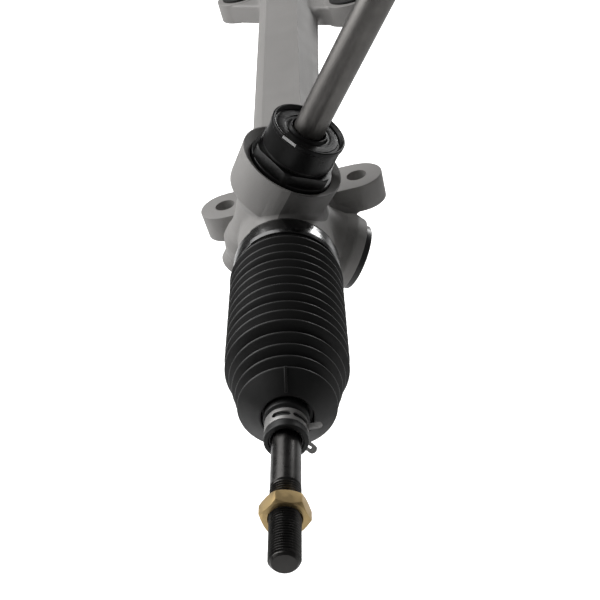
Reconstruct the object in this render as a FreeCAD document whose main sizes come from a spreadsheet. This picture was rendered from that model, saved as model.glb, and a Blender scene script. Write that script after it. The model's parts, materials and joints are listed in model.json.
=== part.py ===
import FreeCAD, Part
import math
import os

import Sketcher
from FreeCAD import Placement, Rotation, Vector

# Rack-and-pinion steering gear for a small car, in millimetres.
# The rack lies along X and the driver's input shaft rises at an angle on its +X half.
# The origin is the middle of the two mounting ears beside the pinion, on their seat,
# and +Z is the direction of the ear bolts.
# Every turned piece is drawn with its own axis along its local X.

SIZES = {
    # mounting ears beside the pinion
    "ear_spacing": (73.2, "bolt to bolt, along Y"),
    "ear_hole_dia": (10.8, "clears an M10 bolt"),
    "ear_lobe_dia": (27.4, "rounded end of an ear"),
    "ear_thickness": (15.0, "seat face to bolt head face"),
    "rack_offset": (-4.2, "rack axis along Y from the middle of the ears"),
    "rack_height": (7.5, "rack axis above the seat of the ears"),
    # layout along the rack
    "pinion_station": (29.8, "where the pinion crosses the rack, along X"),
    "near_ball_station": (150.0, "centre of the near inner ball joint, along X"),
    "ball_span": (680.0, "near ball centre to far ball centre"),
    "housing_to_ball": (72.0, "end face of the housing to the ball centre"),
    "rack_travel": (50.0, "rack movement each way"),
    # the cast housing
    "tube_dia": (40.0, "cast tube round the rack"),
    "tube_flat": (17.0, "rack axis to each flat of the tube"),
    "tube_near_end": (-4.0, "where the plain tube starts, along X"),
    "flank_start": (-70.0, "where the side flank grows out of the tube"),
    "flank_land": (13.5, "width of the flat before the flank slopes away"),
    "flank_small": (20.5, "reach of the flank at its start"),
    "flank_large": (26.0, "reach of the flank at the far bracket"),
    "flank_edge": (2.0, "thickness of the flank along its outer edge"),
    "housing_bore_dia": (26.6, "clears the sliding rack"),
    "barrel_dia": (49.0, "barrel between the pinion and the near boot"),
    "barrel_back": (-4.0, "end of the barrel at the ears"),
    "spigot_dia": (44.0, "what a boot fits on"),
    "spigot_length": (16.0, "what a boot covers"),
    "spigot_groove": (2.0, "depth and width of the bead groove in a spigot"),
    "end_collar_length": (30.0, "thick round end of the far half"),
    "end_collar_dia": (46.0, "thick round end of the far half"),
    # the bracket on the far half
    "bracket_right_inset": (236.0, "bush centre on the +Y side, from the far ball centre"),
    "bracket_right_y": (52.0, "bush centre on the +Y side, from the rack"),
    "bracket_left_inset": (165.0, "bush centre on the -Y side, from the far ball centre"),
    "bracket_left_y": (-36.0, "bush centre on the -Y side, from the rack"),
    "bracket_lobe_dia": (39.0, "rounded end of the bracket"),
    "bracket_thickness": (16.0, "bracket plate"),
    "bush_dia": (30.0, "rubber bush outside"),
    "bush_stand": (1.6, "how far a bush stands out of the bracket"),
    "sleeve_dia": (15.0, "steel sleeve outside"),
    "sleeve_bore_dia": (10.4, "clears an M10 bolt"),
    "sleeve_stand": (1.2, "how far a sleeve stands out of its bush"),
    # the rack bar
    "rack_dia": (24.0, "ground steel bar"),
    "rack_stud_dia": (13.0, "thread of the socket in the end of the rack"),
    "rack_stud_depth": (18.0, "depth of that thread"),
    "rack_bevel": (1.0, "bevel at each end of the rack"),
    "rack_spaces": (21.0, "tooth spaces cut in the rack"),
    # the mesh
    "centre_distance": (14.0, "rack axis to pinion axis"),
    "tooth_module": (2.0, "normal module"),
    "pinion_teeth": (7.0, "teeth of the pinion"),
    "pressure_angle": (20.0, "normal pressure angle, degrees"),
    "helix_angle": (8.2, "right-hand helix of the pinion, degrees"),
    "profile_shift": (0.6, "shift of the pinion teeth, in modules"),
    "tooth_backlash": (0.12, "thinning of the pinion teeth"),
    "pinion_tip_dia": (19.6, "outside of the pinion teeth"),
    "pinion_lean": (8.2, "pinion axis off square to the rack, degrees"),
    "pinion_roll": (37.5, "pinion axis off vertical, towards +Y, degrees"),
    "pinion_face": (24.0, "length of the pinion teeth"),
    # the pinion shaft
    "shaft_dia": (15.5, "input shaft"),
    "shaft_top": (178.0, "end of the input shaft above the rack"),
    "serration_dia": (14.8, "serrated end"),
    "serration_length": (28.0, "serrated end"),
    "clamp_groove_length": (7.0, "groove for the pinch bolt"),
    "clamp_groove_depth": (1.2, "groove for the pinch bolt"),
    "bearing_bore_dia": (17.0, "upper bearing on the shaft"),
    "bearing_dia": (35.0, "upper bearing in the housing"),
    "bearing_width": (10.0, "upper bearing"),
    "bearing_seat": (16.0, "underside of the upper bearing, above the rack"),
    "bearing_ball_dia": (5.8, "balls of the upper bearing"),
    "bearing_balls": (9.0, "number of balls"),
    "race_gap_dia": (3.4, "radial gap between the two races"),
    "race_clearance": (0.1, "ball to race"),
    "clip_width": (1.2, "circlip above the bearing"),
    "clip_dia": (21.0, "circlip above the bearing"),
    "clip_depth": (0.6, "depth of the circlip in the shaft"),
    "clip_land": (1.4, "bearing seat that goes on above the circlip"),
    "shoulder_height": (1.2, "shoulder of the shaft under the bearing"),
    "shoulder_width": (1.6, "shoulder of the shaft under the bearing"),
    "shaft_bevel": (1.0, "bevels of the pinion shaft"),
    "gear_end_gap": (1.0, "from the teeth to the end of their chamber"),
    "gear_side_gap": (0.6, "from the teeth to the wall of their chamber"),
    "journal_dia": (10.0, "lower end of the pinion"),
    "journal_end": (-31.0, "lower end of the pinion, below the rack"),
    "bush_cup_dia": (16.0, "lower bush in the housing"),
    "bush_cup_length": (14.0, "lower bush"),
    "running_gap": (0.05, "radial gap of a running fit"),
    # the pinion tower of the housing
    "tower_dia": (53.4, "round top of the tower"),
    "tower_top": (41.6, "top face above the rack"),
    "tower_skirt": (21.0, "underside of the round top"),
    "tower_neck_dia": (42.0, "tower below its round top"),
    "tower_foot": (-25.0, "end of the gear chamber"),
    "tower_foot_dia": (28.0, "wall round the gear chamber"),
    "tower_toe": (-40.0, "closed lower end"),
    "tower_toe_dia": (23.0, "closed lower end"),
    "tower_recess_dia": (45.6, "recess in the top face"),
    "tower_recess_floor": (35.6, "floor of that recess"),
    "tower_funnel_dia": (52.0, "mouth of the bevel that leads into it"),
    "tower_funnel_depth": (2.4, "depth of that bevel"),
    # what closes the tower
    "plug_dia": (35.6, "threaded plug over the bearing"),
    "plug_top": (55.0, "top of the plug"),
    "plug_web": (40.0, "floor of the seal pocket"),
    "seal_dia": (24.6, "shaft seal outside"),
    "seal_height": (7.0, "shaft seal"),
    "ring_dia": (44.6, "lock ring flange"),
    "ring_flats": (40.6, "lock ring across flats"),
    "ring_flange": (5.4, "lock ring flange height"),
    "ring_height": (10.6, "lock ring overall height"),
    "cover_foot": (47.9, "lower edge of the dust cover"),
    "cover_top": (62.0, "rim of the dust cover"),
    "cover_dia": (38.2, "rim of the dust cover"),
    "cover_foot_dia": (37.2, "lower edge of the dust cover"),
    "cover_rim": (2.0, "width of the rim"),
    "cover_recess": (1.6, "depth of the face inside the rim"),
    "cover_lip_dia": (19.2, "raised lip round the shaft"),
    # the yoke that presses the rack against the pinion
    "yoke_bore_dia": (29.0, "bore for the yoke"),
    "yoke_boss_dia": (37.8, "boss round that bore"),
    "yoke_root_dia": (47.0, "wide root of the boss"),
    "yoke_boss_end": (39.4, "end of the boss, from the rack axis"),
    "yoke_front": (3.0, "front of the yoke, from the rack axis"),
    "yoke_back": (27.0, "back of the yoke, from the rack axis"),
    "yoke_fit": (0.08, "radial gap of the yoke in its bore"),
    "yoke_pocket_dia": (15.0, "spring pocket"),
    "yoke_pocket_floor": (16.5, "floor of the spring pocket"),
    "liner_thickness": (0.6, "plastic liner behind the rack"),
    "liner_half_width": (9.4, "half width of the liner across the rack"),
    "ring_cord": (2.4, "cord of the O-ring"),
    "ring_seat": (22.5, "groove of the O-ring, from the rack axis"),
    "spring_dia": (11.4, "middle of the spring wire"),
    "spring_wire": (2.2, "spring wire"),
    "spring_turns": (4.0, "turns of the spring"),
    "plug_front": (29.6, "inner face of the yoke plug"),
    "plug_back": (41.0, "outer face of the yoke plug"),
    "plug_socket": (14.0, "hexagon socket in the yoke plug"),
    "plug_socket_depth": (6.0, "hexagon socket in the yoke plug"),
    "yoke_nut_dia": (34.6, "round lock nut on the yoke plug"),
    "yoke_nut_back": (42.3, "outer face of that nut"),
    "lug_height": (2.9, "cast lug on the rim of the boss"),
    "lug_angle": (66.0, "arc of the lug, degrees"),
    # guide of the rack at the far end
    "guide_dia": (30.0, "rack bush outside"),
    "guide_length": (20.0, "rack bush"),
    "guide_cover": (3.6, "retaining ring of the rack bush"),
    # inner ball joints and tie rods
    "ball_dia": (20.0, "ball of a tie rod"),
    "seat_wall": (1.9, "plastic seat round the ball"),
    "ball_gap": (0.1, "gap round the ball and round its seat"),
    "socket_dia": (31.0, "steel socket"),
    "socket_back": (17.5, "back face of the socket behind the ball centre"),
    "socket_front": (8.2, "front face of the socket"),
    "socket_mouth": (57.0, "opening of the socket, degrees off the axis"),
    "seat_mouth": (50.0, "opening of the seat, degrees off the axis"),
    "socket_flats": (28.0, "two spanner flats on the socket"),
    "socket_flats_length": (8.0, "length of those flats"),
    "washer_dia": (32.0, "stop washer between rack and socket"),
    "washer_thickness": (2.5, "stop washer"),
    "rod_dia": (11.86, "shank of a tie rod"),
    "rod_neck_dia": (10.4, "neck behind the ball"),
    "rod_neck_end": (20.0, "where the neck becomes the shank"),
    "thread_start": (72.0, "start of the thread from the ball centre"),
    "thread_dia": (12.0, "M12 thread"),
    "rod_end": (109.5, "end of the tie rod from the ball centre"),
    "rod_chamfer": (1.3, "chamfer of the rod's end"),
    "rod_yaw": (0.75, "tie rod off the rack axis at rest, degrees"),
    "nut_flats": (17.0, "lock nut across flats"),
    "nut_thickness": (6.5, "lock nut"),
    "nut_station": (81.7, "back face of the lock nut from the ball centre"),
    "nut_bore_dia": (10.7, "lock nut on its thread"),
    "nut_relief": (0.5, "thread cut away beside the lock nut"),
    "nut_turn": (27.0, "turn of the lock nut about the rod, degrees"),
    # rubber boots
    "boot_collar_dia": (50.4, "boot on its spigot"),
    "boot_crest_dia": (54.6, "folds"),
    "boot_valley_dia": (43.0, "between folds"),
    "boot_wall": (1.1, "rubber"),
    "fold_pitch": (6.84, "even folds"),
    "fold_first": (-67.84, "first crest from the ball centre"),
    "even_folds": (11.0, "folds of full size"),
    "taper_pitch": (6.1, "folds that get smaller"),
    "taper_folds": (4.0, "folds that get smaller"),
    "taper_step": (3.0, "loss of diameter per tapering fold"),
    "taper_drop": (1.0, "further loss at the first tapering fold"),
    "boot_shoulder_dia": (47.0, "valley between the collar and the first fold"),
    "boot_face_dia": (39.2, "edge of the end cone"),
    "boot_face": (27.0, "edge of the end cone from the ball centre"),
    "boot_step_dia": (22.8, "step at the foot of the neck"),
    "boot_step": (31.3, "step at the foot of the neck"),
    "neck_dia": (16.0, "neck under the small clamp"),
    "neck_bead_dia": (18.0, "bead at the mouth of the neck"),
    "neck_start": (34.6, "start of the neck"),
    "neck_end": (46.4, "mouth of the boot"),
    "neck_gap": (0.3, "boot mouth round the rod"),
    "large_clamp_width": (13.2, "band on the boot collar"),
    "large_clamp_wall": (0.8, "band on the boot collar"),
    "small_clamp_start": (35.6, "band on the neck"),
    "small_clamp_width": (6.6, "band on the neck"),
    "small_clamp_wall": (0.8, "band on the neck"),
    "small_clamp_gap": (0.1, "radial gap of that band on the neck"),
    "clamp_tab_reach": (5.0, "tabs of the small clamp"),
    "clamp_tab_width": (3.0, "tabs of the small clamp"),
    "clamp_tab_first": (25.0, "angle of the upper tab, degrees"),
    "clamp_tab_second": (-30.0, "angle of the lower tab, degrees"),
    "clamp_ear_height": (5.0, "crimped ear of the large clamp"),
    "clamp_ear_width": (9.0, "crimped ear of the large clamp"),
}


class Size:
    """A number together with the sheet formula that gives it."""

    def __init__(self, value, text):
        self.value = float(value)
        self.text = text

    def joined(self, sign, other, value):
        return Size(value, "(%s %s %s)" % (self.text, sign, as_size(other).text))

    def __add__(self, other):
        return self.joined("+", other, self.value + as_size(other).value)

    def __sub__(self, other):
        return self.joined("-", other, self.value - as_size(other).value)

    def __mul__(self, other):
        return self.joined("*", other, self.value * as_size(other).value)

    def __truediv__(self, other):
        return self.joined("/", other, self.value / as_size(other).value)

    def __neg__(self):
        return as_size(0) - self


def as_size(number):
    if isinstance(number, Size):
        return number
    return Size(number, "%.9g" % number)


class Sheet:
    """The spreadsheet of driving sizes; sheet.name is a Size."""

    def __init__(self, doc, sizes):
        self.page = doc.addObject("Spreadsheet::Sheet", "Sizes")
        for row, (name, (value, note)) in enumerate(sizes.items(), start=1):
            self.page.set("A%d" % row, name)
            self.page.set("B%d" % row, str(value))
            self.page.set("C%d" % row, note)
            self.page.setAlias("B%d" % row, name)
            setattr(self, name, Size(value, "Sizes." + name))


doc = FreeCAD.newDocument("SteeringRack")
S = Sheet(doc, SIZES)
doc.recompute()
pieces = []


def mm(x=0.0, y=0.0, z=0.0):
    return Vector(as_size(x).value, as_size(y).value, as_size(z).value)


def moved(x=0.0, y=0.0, z=0.0):
    return Placement(mm(x, y, z), Rotation())


def turned_by(axis, angle):
    return Placement(Vector(), Rotation(Vector(*axis), as_size(angle).value))


X_AXIS, Y_AXIS, Z_AXIS = (1, 0, 0), (0, 1, 0), (0, 0, 1)
ALONG_X = turned_by(Y_AXIS, 90)

# Frames of the assembly. In the mesh frame the pinion lies on the -Y side of the rack
# and the yoke pushes from the +Y side. The pinion and yoke frames have X along their axes.
rack_frame = moved(0, S.rack_offset, S.rack_height)
mesh_frame = rack_frame * moved(S.pinion_station) * turned_by(X_AXIS, -S.pinion_roll)
gear_frame = mesh_frame * moved(0, -S.centre_distance) * turned_by(Y_AXIS, S.pinion_lean)
pinion_frame = gear_frame * turned_by(Y_AXIS, -90)
yoke_frame = mesh_frame * turned_by(Z_AXIS, 90)
near_frame = rack_frame * moved(S.near_ball_station)
far_frame = rack_frame * moved(S.near_ball_station - S.ball_span) * turned_by(Z_AXIS, 180)


def keep(label, item):
    """Name a finished sub-part and put it on the list that is written out."""
    item.Label = label
    pieces.append(item)
    return item


def bind(item, **sizes):
    for name, size in sizes.items():
        item.setExpression(name, as_size(size).text)
    return item


def cylinder(name, dia, start, end, frame):
    """A round bar along the frame's X, from start to end."""
    item = doc.addObject("Part::Cylinder", name)
    bind(item, Radius=as_size(dia) / 2, Height=as_size(end) - start)
    item.Placement = frame * moved(start) * ALONG_X
    return item


def cone(name, dia_start, dia_end, start, end, frame):
    item = doc.addObject("Part::Cone", name)
    bind(item, Radius1=as_size(dia_start) / 2, Radius2=as_size(dia_end) / 2,
         Height=as_size(end) - start)
    item.Placement = frame * moved(start) * ALONG_X
    return item


def sphere(name, dia, frame):
    item = doc.addObject("Part::Sphere", name)
    bind(item, Radius=as_size(dia) / 2)
    item.Placement = frame
    return item


def block(name, length, width, height, frame):
    """A box of these sizes, centred on the frame."""
    item = doc.addObject("Part::Box", name)
    bind(item, Length=length, Width=width, Height=height)
    half = mm(as_size(length) / 2, as_size(width) / 2, as_size(height) / 2)
    item.Placement = frame * Placement(-half, Rotation())
    return item


def hexagon(name, flats, start, end, frame):
    """A hexagonal bar along the frame's X, given its size across flats."""
    item = doc.addObject("Part::Prism", name)
    item.Polygon = 6
    bind(item, Circumradius=as_size(flats) / 3 ** 0.5, Height=as_size(end) - start)
    item.Placement = frame * moved(start) * ALONG_X
    return item


def joined(name, items):
    item = doc.addObject("Part::MultiFuse", name)
    item.Shapes = items
    return item


def welded(name, items):
    """Join many overlapping solids two at a time, which is steadier than all at once."""
    whole = items[0]
    for number, item in enumerate(items[1:], start=1):
        pair = doc.addObject("Part::Fuse", "%s_%d" % (name, number))
        pair.Base, pair.Tool = whole, item
        whole = pair
    return whole


def less(name, base, tools):
    item = doc.addObject("Part::Cut", name)
    item.Base = base
    item.Tool = tools[0] if len(tools) == 1 else joined(name + "_tools", tools)
    return item


def shared(name, base, tool):
    item = doc.addObject("Part::Common", name)
    item.Base = base
    item.Tool = tool
    return item


def draw_outline(sketch, outline):
    """Draw a closed outline of straight lines whose corners follow the sheet."""
    corners = [(as_size(u), as_size(v)) for u, v in outline]
    points = [Vector(u.value, v.value, 0) for u, v in corners]
    after = points[1:] + points[:1]
    sketch.addGeometry([Part.LineSegment(a, b) for a, b in zip(points, after)], False)
    rules, formulas = [], []
    for line, (u, v) in enumerate(corners):
        rules.append(Sketcher.Constraint("Coincident", line, 2, (line + 1) % len(corners), 1))
        for kind, size, axis in (("DistanceX", u, -2), ("DistanceY", v, -1)):
            if size.text == "0":
                rules.append(Sketcher.Constraint("PointOnObject", line, 1, axis))
            else:
                formulas.append((len(rules), size.text))
                rules.append(Sketcher.Constraint(kind, -1, 1, line, 1, size.value))
    sketch.addConstraint(rules)
    for place, text in formulas:
        sketch.setExpression("Constraints[%d]" % place, text)


def turned(label, outline, frame):
    """A lathe-turned body: the outline is (along, radius), spun about the frame's X."""
    body = doc.addObject("PartDesign::Body", label + "_body")
    sketch = body.newObject("Sketcher::SketchObject", label + "_outline")
    plane = [item for item in body.Origin.OriginFeatures if item.Role == "XY_Plane"]
    sketch.AttachmentSupport = [(plane[0], "")]
    sketch.MapMode = "FlatFace"
    draw_outline(sketch, outline)
    spin = body.newObject("PartDesign::Revolution", label + "_spin")
    spin.Profile = sketch
    spin.ReferenceAxis = (sketch, ["H_Axis"])
    spin.Angle = 360
    body.Tip = spin
    body.Placement = frame
    return body


def ring(label, bore_dia, outer_dia, start, end, frame):
    inner, outer = as_size(bore_dia) / 2, as_size(outer_dia) / 2
    return turned(label, [(start, inner), (end, inner), (end, outer), (start, outer)], frame)


def section(name, outline, station):
    """An outline of (Y, Z) corners across the rack at one station along X."""
    sketch = doc.addObject("Sketcher::SketchObject", name)
    draw_outline(sketch, outline)
    across = Rotation(Vector(0, 1, 0), Vector(0, 0, 1), Vector(1, 0, 0), "XYZ")
    sketch.Placement = rack_frame * Placement(mm(station), across)
    return sketch


def loft(name, sections):
    item = doc.addObject("Part::Loft", name)
    item.Sections = sections
    item.Solid = True
    item.Ruled = True
    return item


def bar(name, first, second, dia, thickness):
    """A flat bar with round ends between two (X, Y) points of the rack frame."""
    here, there = mm(*first), mm(*second)
    middle = (here + there) / 2
    run = there - here
    turn = Rotation(Vector(1, 0, 0), run)
    plate = rack_frame * Placement(middle, turn)
    body = block(name + "_web", run.Length, dia, thickness, plate)
    ends = []
    for word, spot in (("first", here), ("second", there)):
        lower = rack_frame * Placement(spot, Rotation()) * moved(0, 0, -as_size(thickness) / 2)
        end = doc.addObject("Part::Cylinder", name + "_" + word + "_end")
        bind(end, Radius=as_size(dia) / 2, Height=thickness)
        end.Placement = lower
        ends.append(end)
    return [body] + ends


def hole(name, dia, spot, depth):
    """A hole along Z through a plate of this depth, at an (X, Y) point of the rack frame."""
    item = doc.addObject("Part::Cylinder", name)
    bind(item, Radius=as_size(dia) / 2, Height=as_size(depth) + 2)
    item.Placement = rack_frame * moved(spot[0], spot[1], -as_size(depth) / 2 - 1)
    return item


# Cast housing
far_ball = S.near_ball_station - S.ball_span
bracket_right = (far_ball + S.bracket_right_inset, S.bracket_right_y)
bracket_left = (far_ball + S.bracket_left_inset, S.bracket_left_y)
ear_right = (0, S.ear_spacing / 2 - S.rack_offset)
ear_left = (0, -S.ear_spacing / 2 - S.rack_offset)
near_face = S.near_ball_station - S.housing_to_ball
far_face = far_ball + S.housing_to_ball


def flank(reach):
    half, edge = S.tube_flat, S.flank_edge / 2
    return [(0, half), (S.flank_land, half), (reach, edge), (reach, -edge),
            (S.flank_land, -half), (0, -half)]


def make_housing():
    tube = shared("tube",
                  cylinder("tube_round", S.tube_dia, far_face + S.spigot_length,
                           S.tube_near_end, rack_frame),
                  block("tube_flats", S.ball_span * 2, S.tube_dia * 2, S.tube_flat * 2,
                        rack_frame))
    side = loft("tube_flank", [section("flank_near", flank(S.flank_small), S.flank_start),
                               section("flank_far", flank(S.flank_large), bracket_right[0])])
    runout = loft("tube_runout", [section("runout_near", flank(S.flank_large), bracket_right[0]),
                                  section("runout_far", flank(S.flank_small), bracket_left[0])])
    solids = [tube, side, runout]
    solids += bar("ears", ear_left, ear_right, S.ear_lobe_dia, S.ear_thickness)
    solids += bar("bracket", bracket_left, bracket_right, S.bracket_lobe_dia,
                  S.bracket_thickness)
    solids += [
        cylinder("near_barrel", S.barrel_dia, S.barrel_back, near_face - S.spigot_length,
                 rack_frame),
        cylinder("near_spigot", S.spigot_dia, near_face - S.spigot_length - 2, near_face,
                 rack_frame),
        cylinder("far_spigot", S.spigot_dia, far_face, far_face + S.spigot_length + 2,
                 rack_frame),
        cylinder("far_collar", S.end_collar_dia, far_face + S.spigot_length,
                 far_face + S.end_collar_length, rack_frame),
        cylinder("tower_ring", S.tower_dia, S.tower_skirt, S.tower_top, pinion_frame),
        cone("tower_skirt", S.tower_neck_dia, S.tower_dia, S.tower_skirt - 6, S.tower_skirt,
             pinion_frame),
        cylinder("tower_neck", S.tower_neck_dia, 0, S.tower_skirt, pinion_frame),
        cylinder("tower_foot", S.tower_foot_dia, S.tower_foot, 0, pinion_frame),
        cylinder("tower_toe", S.tower_toe_dia, S.tower_toe, S.tower_foot, pinion_frame),
        cylinder("yoke_boss", S.yoke_boss_dia, 0, S.yoke_boss_end, yoke_frame),
        cone("yoke_root", S.yoke_root_dia, S.yoke_boss_dia, 0, S.yoke_boss_end * 0.7,
             yoke_frame),
        make_lug(),
    ]
    groove = S.spigot_groove
    gear_room = S.pinion_tip_dia + S.gear_side_gap * 2
    chamber_end = -S.pinion_face / 2 - S.gear_end_gap
    bush_floor = chamber_end - S.bush_cup_length
    plug_hole = S.plug_dia + S.running_gap * 2
    hollows = [
        cylinder("rack_bore", S.housing_bore_dia, far_face - 1, near_face + 1, rack_frame),
        cylinder("guide_bore", S.guide_dia, far_face - 1,
                 far_face + S.guide_cover + S.guide_length, rack_frame),
        hole("ear_hole_right", S.ear_hole_dia, ear_right, S.ear_thickness),
        hole("ear_hole_left", S.ear_hole_dia, ear_left, S.ear_thickness),
        hole("bush_hole_right", S.bush_dia, bracket_right, S.bracket_thickness),
        hole("bush_hole_left", S.bush_dia, bracket_left, S.bracket_thickness),
        cylinder("gear_chamber", gear_room, chamber_end, S.bearing_seat, pinion_frame),
        cylinder("bush_pocket", S.bush_cup_dia, bush_floor, chamber_end, pinion_frame),
        cylinder("journal_room", S.journal_dia + 2, S.journal_end - 2, bush_floor,
                 pinion_frame),
        cylinder("bearing_pocket", S.bearing_dia, S.bearing_seat,
                 S.bearing_seat + S.bearing_width, pinion_frame),
        cylinder("plug_thread", plug_hole, S.bearing_seat + S.bearing_width,
                 S.tower_recess_floor, pinion_frame),
        cylinder("tower_recess", S.tower_recess_dia, S.tower_recess_floor, S.tower_top + 1,
                 pinion_frame),
        cone("tower_funnel", S.tower_recess_dia, S.tower_funnel_dia,
             S.tower_top - S.tower_funnel_depth, S.tower_top, pinion_frame),
        cylinder("yoke_bore", S.yoke_bore_dia, 0, S.yoke_boss_end + S.lug_height + 1,
                 yoke_frame),
        ring("near_groove", S.spigot_dia - groove, S.spigot_dia + 1,
             near_face - groove * 3, near_face - groove * 2, rack_frame),
        ring("far_groove", S.spigot_dia - groove, S.spigot_dia + 1,
             far_face + groove * 2, far_face + groove * 3, rack_frame),
    ]
    return keep("rack_housing", less("housing", welded("housing_metal", solids), hollows))


def make_lug():
    """A short arc of raised rim on the yoke boss, beside its lock nut."""
    arc = doc.addObject("Part::Cylinder", "lug_arc")
    bind(arc, Radius=S.yoke_boss_dia / 2, Height=S.lug_height + 1, Angle=S.lug_angle)
    arc.Placement = yoke_frame * moved(S.yoke_boss_end - 1) * ALONG_X * turned_by(Z_AXIS, 57)
    core = cylinder("lug_core", S.yoke_nut_dia + 0.6, S.yoke_boss_end - 2,
                    S.yoke_boss_end + S.lug_height + 1, yoke_frame)
    return less("yoke_lug", arc, [core])


# Rack bar
rack_near = S.near_ball_station - S.socket_back - S.washer_thickness
rack_far = S.near_ball_station - S.ball_span + S.socket_back + S.washer_thickness
tooth_slant = S.helix_angle.value - S.pinion_lean.value
pitch_radius = (S.tooth_module.value * S.pinion_teeth.value / 2
                / math.cos(math.radians(S.helix_angle.value)))
rack_pitch = math.pi * S.tooth_module.value / math.cos(math.radians(tooth_slant))
tooth_line = -S.centre_distance.value + pitch_radius + S.profile_shift.value * S.tooth_module.value
tooth_tip = tooth_line - S.tooth_module.value
tooth_root = tooth_line + 1.25 * S.tooth_module.value


def make_tooth_cutter():
    """The comb that leaves the rack teeth, slanted to match the pinion's helix."""
    slope = math.tan(math.radians(S.pressure_angle.value))
    slope = slope / math.cos(math.radians(tooth_slant))
    half_tip = rack_pitch / 4 + slope * (tooth_line - tooth_tip)
    half_root = rack_pitch / 4 - slope * (tooth_root - tooth_line)
    spaces = int(S.rack_spaces.value)
    end = rack_pitch * (spaces + 1) / 2
    outside = -S.rack_dia.value
    corners = [(-end, outside), (-end, tooth_tip)]
    for number in range(spaces):
        middle = rack_pitch * (number - (spaces - 1) / 2)
        corners += [(middle - half_tip, tooth_tip), (middle - half_root, tooth_root),
                    (middle + half_root, tooth_root), (middle + half_tip, tooth_tip)]
    corners += [(end, tooth_tip), (end, outside)]
    face = Part.Face(Part.makePolygon([Vector(u, v, 0) for u, v in corners + corners[:1]]))
    slant = math.radians(tooth_slant)
    run = Vector(-math.sin(slant), 0, math.cos(slant)) * (S.rack_dia.value * 2)
    face.translate(run * -0.5)
    cutter = doc.addObject("Part::Feature", "tooth_cutter")
    cutter.Shape = face.extrude(run)
    cutter.Placement = mesh_frame
    return cutter


def make_rack():
    half, bevel = S.rack_dia / 2, S.rack_bevel
    blank = turned("rack_blank", [(rack_far, 0), (rack_near, 0), (rack_near, half - bevel),
                                  (rack_near - bevel, half), (rack_far + bevel, half),
                                  (rack_far, half - bevel)], rack_frame)
    threads = [cylinder("near_stud_hole", S.rack_stud_dia, rack_near - S.rack_stud_depth - 2,
                        rack_near + 1, rack_frame),
               cylinder("far_stud_hole", S.rack_stud_dia, rack_far - 1,
                        rack_far + S.rack_stud_depth + 2, rack_frame)]
    return keep("rack_bar", less("rack", blank, [make_tooth_cutter()] + threads))


# Pinion shaft
def involute(angle):
    return math.tan(angle) - angle


def make_teeth():
    """The helical involute teeth, swept up their own axis with the twist of the helix."""
    module, teeth = S.tooth_module.value, int(S.pinion_teeth.value)
    helix = math.radians(S.helix_angle.value)
    pressure = math.atan(math.tan(math.radians(S.pressure_angle.value)) / math.cos(helix))
    base = pitch_radius * math.cos(pressure)
    shift = S.profile_shift.value * module
    root = pitch_radius + shift - 1.25 * module
    tip = S.pinion_tip_dia.value / 2
    width = math.pi * module / math.cos(helix) / 2 + 2 * shift * math.tan(pressure)
    width -= S.tooth_backlash.value
    start = width / 2 / pitch_radius + involute(pressure)

    def at(radius, angle):
        return Vector(radius * math.cos(angle), radius * math.sin(angle), 0)

    radii = [base + (tip - base) * (step / 5) ** 1.5 for step in range(6)]
    edges = []
    step = 2 * math.pi / teeth
    for number in range(teeth):
        middle = math.pi / 2 + step * number
        halves = [start - involute(math.acos(min(1.0, base / radius))) for radius in radii]
        rising = [at(r, middle - half) for r, half in zip(radii, halves)]
        falling = [at(r, middle + half) for r, half in zip(reversed(radii), reversed(halves))]
        foot_in, foot_out = at(root, middle - start), at(root, middle + start)
        next_foot = at(root, middle + step - start)
        curve_up, curve_down = Part.BSplineCurve(), Part.BSplineCurve()
        curve_up.interpolate(rising)
        curve_down.interpolate(falling)
        edges += [
            Part.LineSegment(foot_in, rising[0]).toShape(), curve_up.toShape(),
            Part.Arc(rising[-1], at(tip, middle), falling[0]).toShape(), curve_down.toShape(),
            Part.LineSegment(falling[-1], foot_out).toShape(),
            Part.Arc(foot_out, at(root, middle + step / 2), next_foot).toShape(),
        ]
    length = S.pinion_face.value
    twist = length * math.tan(helix) / pitch_radius
    profile = Part.Wire(Part.__sortEdges__(edges))
    profile.rotate(Vector(), Vector(0, 0, 1), -math.degrees(twist) / 2)
    profile.translate(Vector(0, 0, -length / 2))
    spine = Part.Wire(Part.LineSegment(Vector(0, 0, -length / 2),
                                       Vector(0, 0, length / 2)).toShape())
    guide = Part.makeHelix(2 * math.pi * pitch_radius / math.tan(helix), length, pitch_radius)
    guide.translate(Vector(0, 0, -length / 2))
    sweep = Part.BRepOffsetAPI.MakePipeShell(spine)
    sweep.setAuxiliarySpine(Part.Wire(guide.Edges), True, 0)
    sweep.add(profile)
    sweep.build()
    sweep.makeSolid()
    gear = doc.addObject("Part::Feature", "pinion_gear")
    gear.Shape = sweep.shape()
    gear.Placement = gear_frame
    return gear


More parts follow.
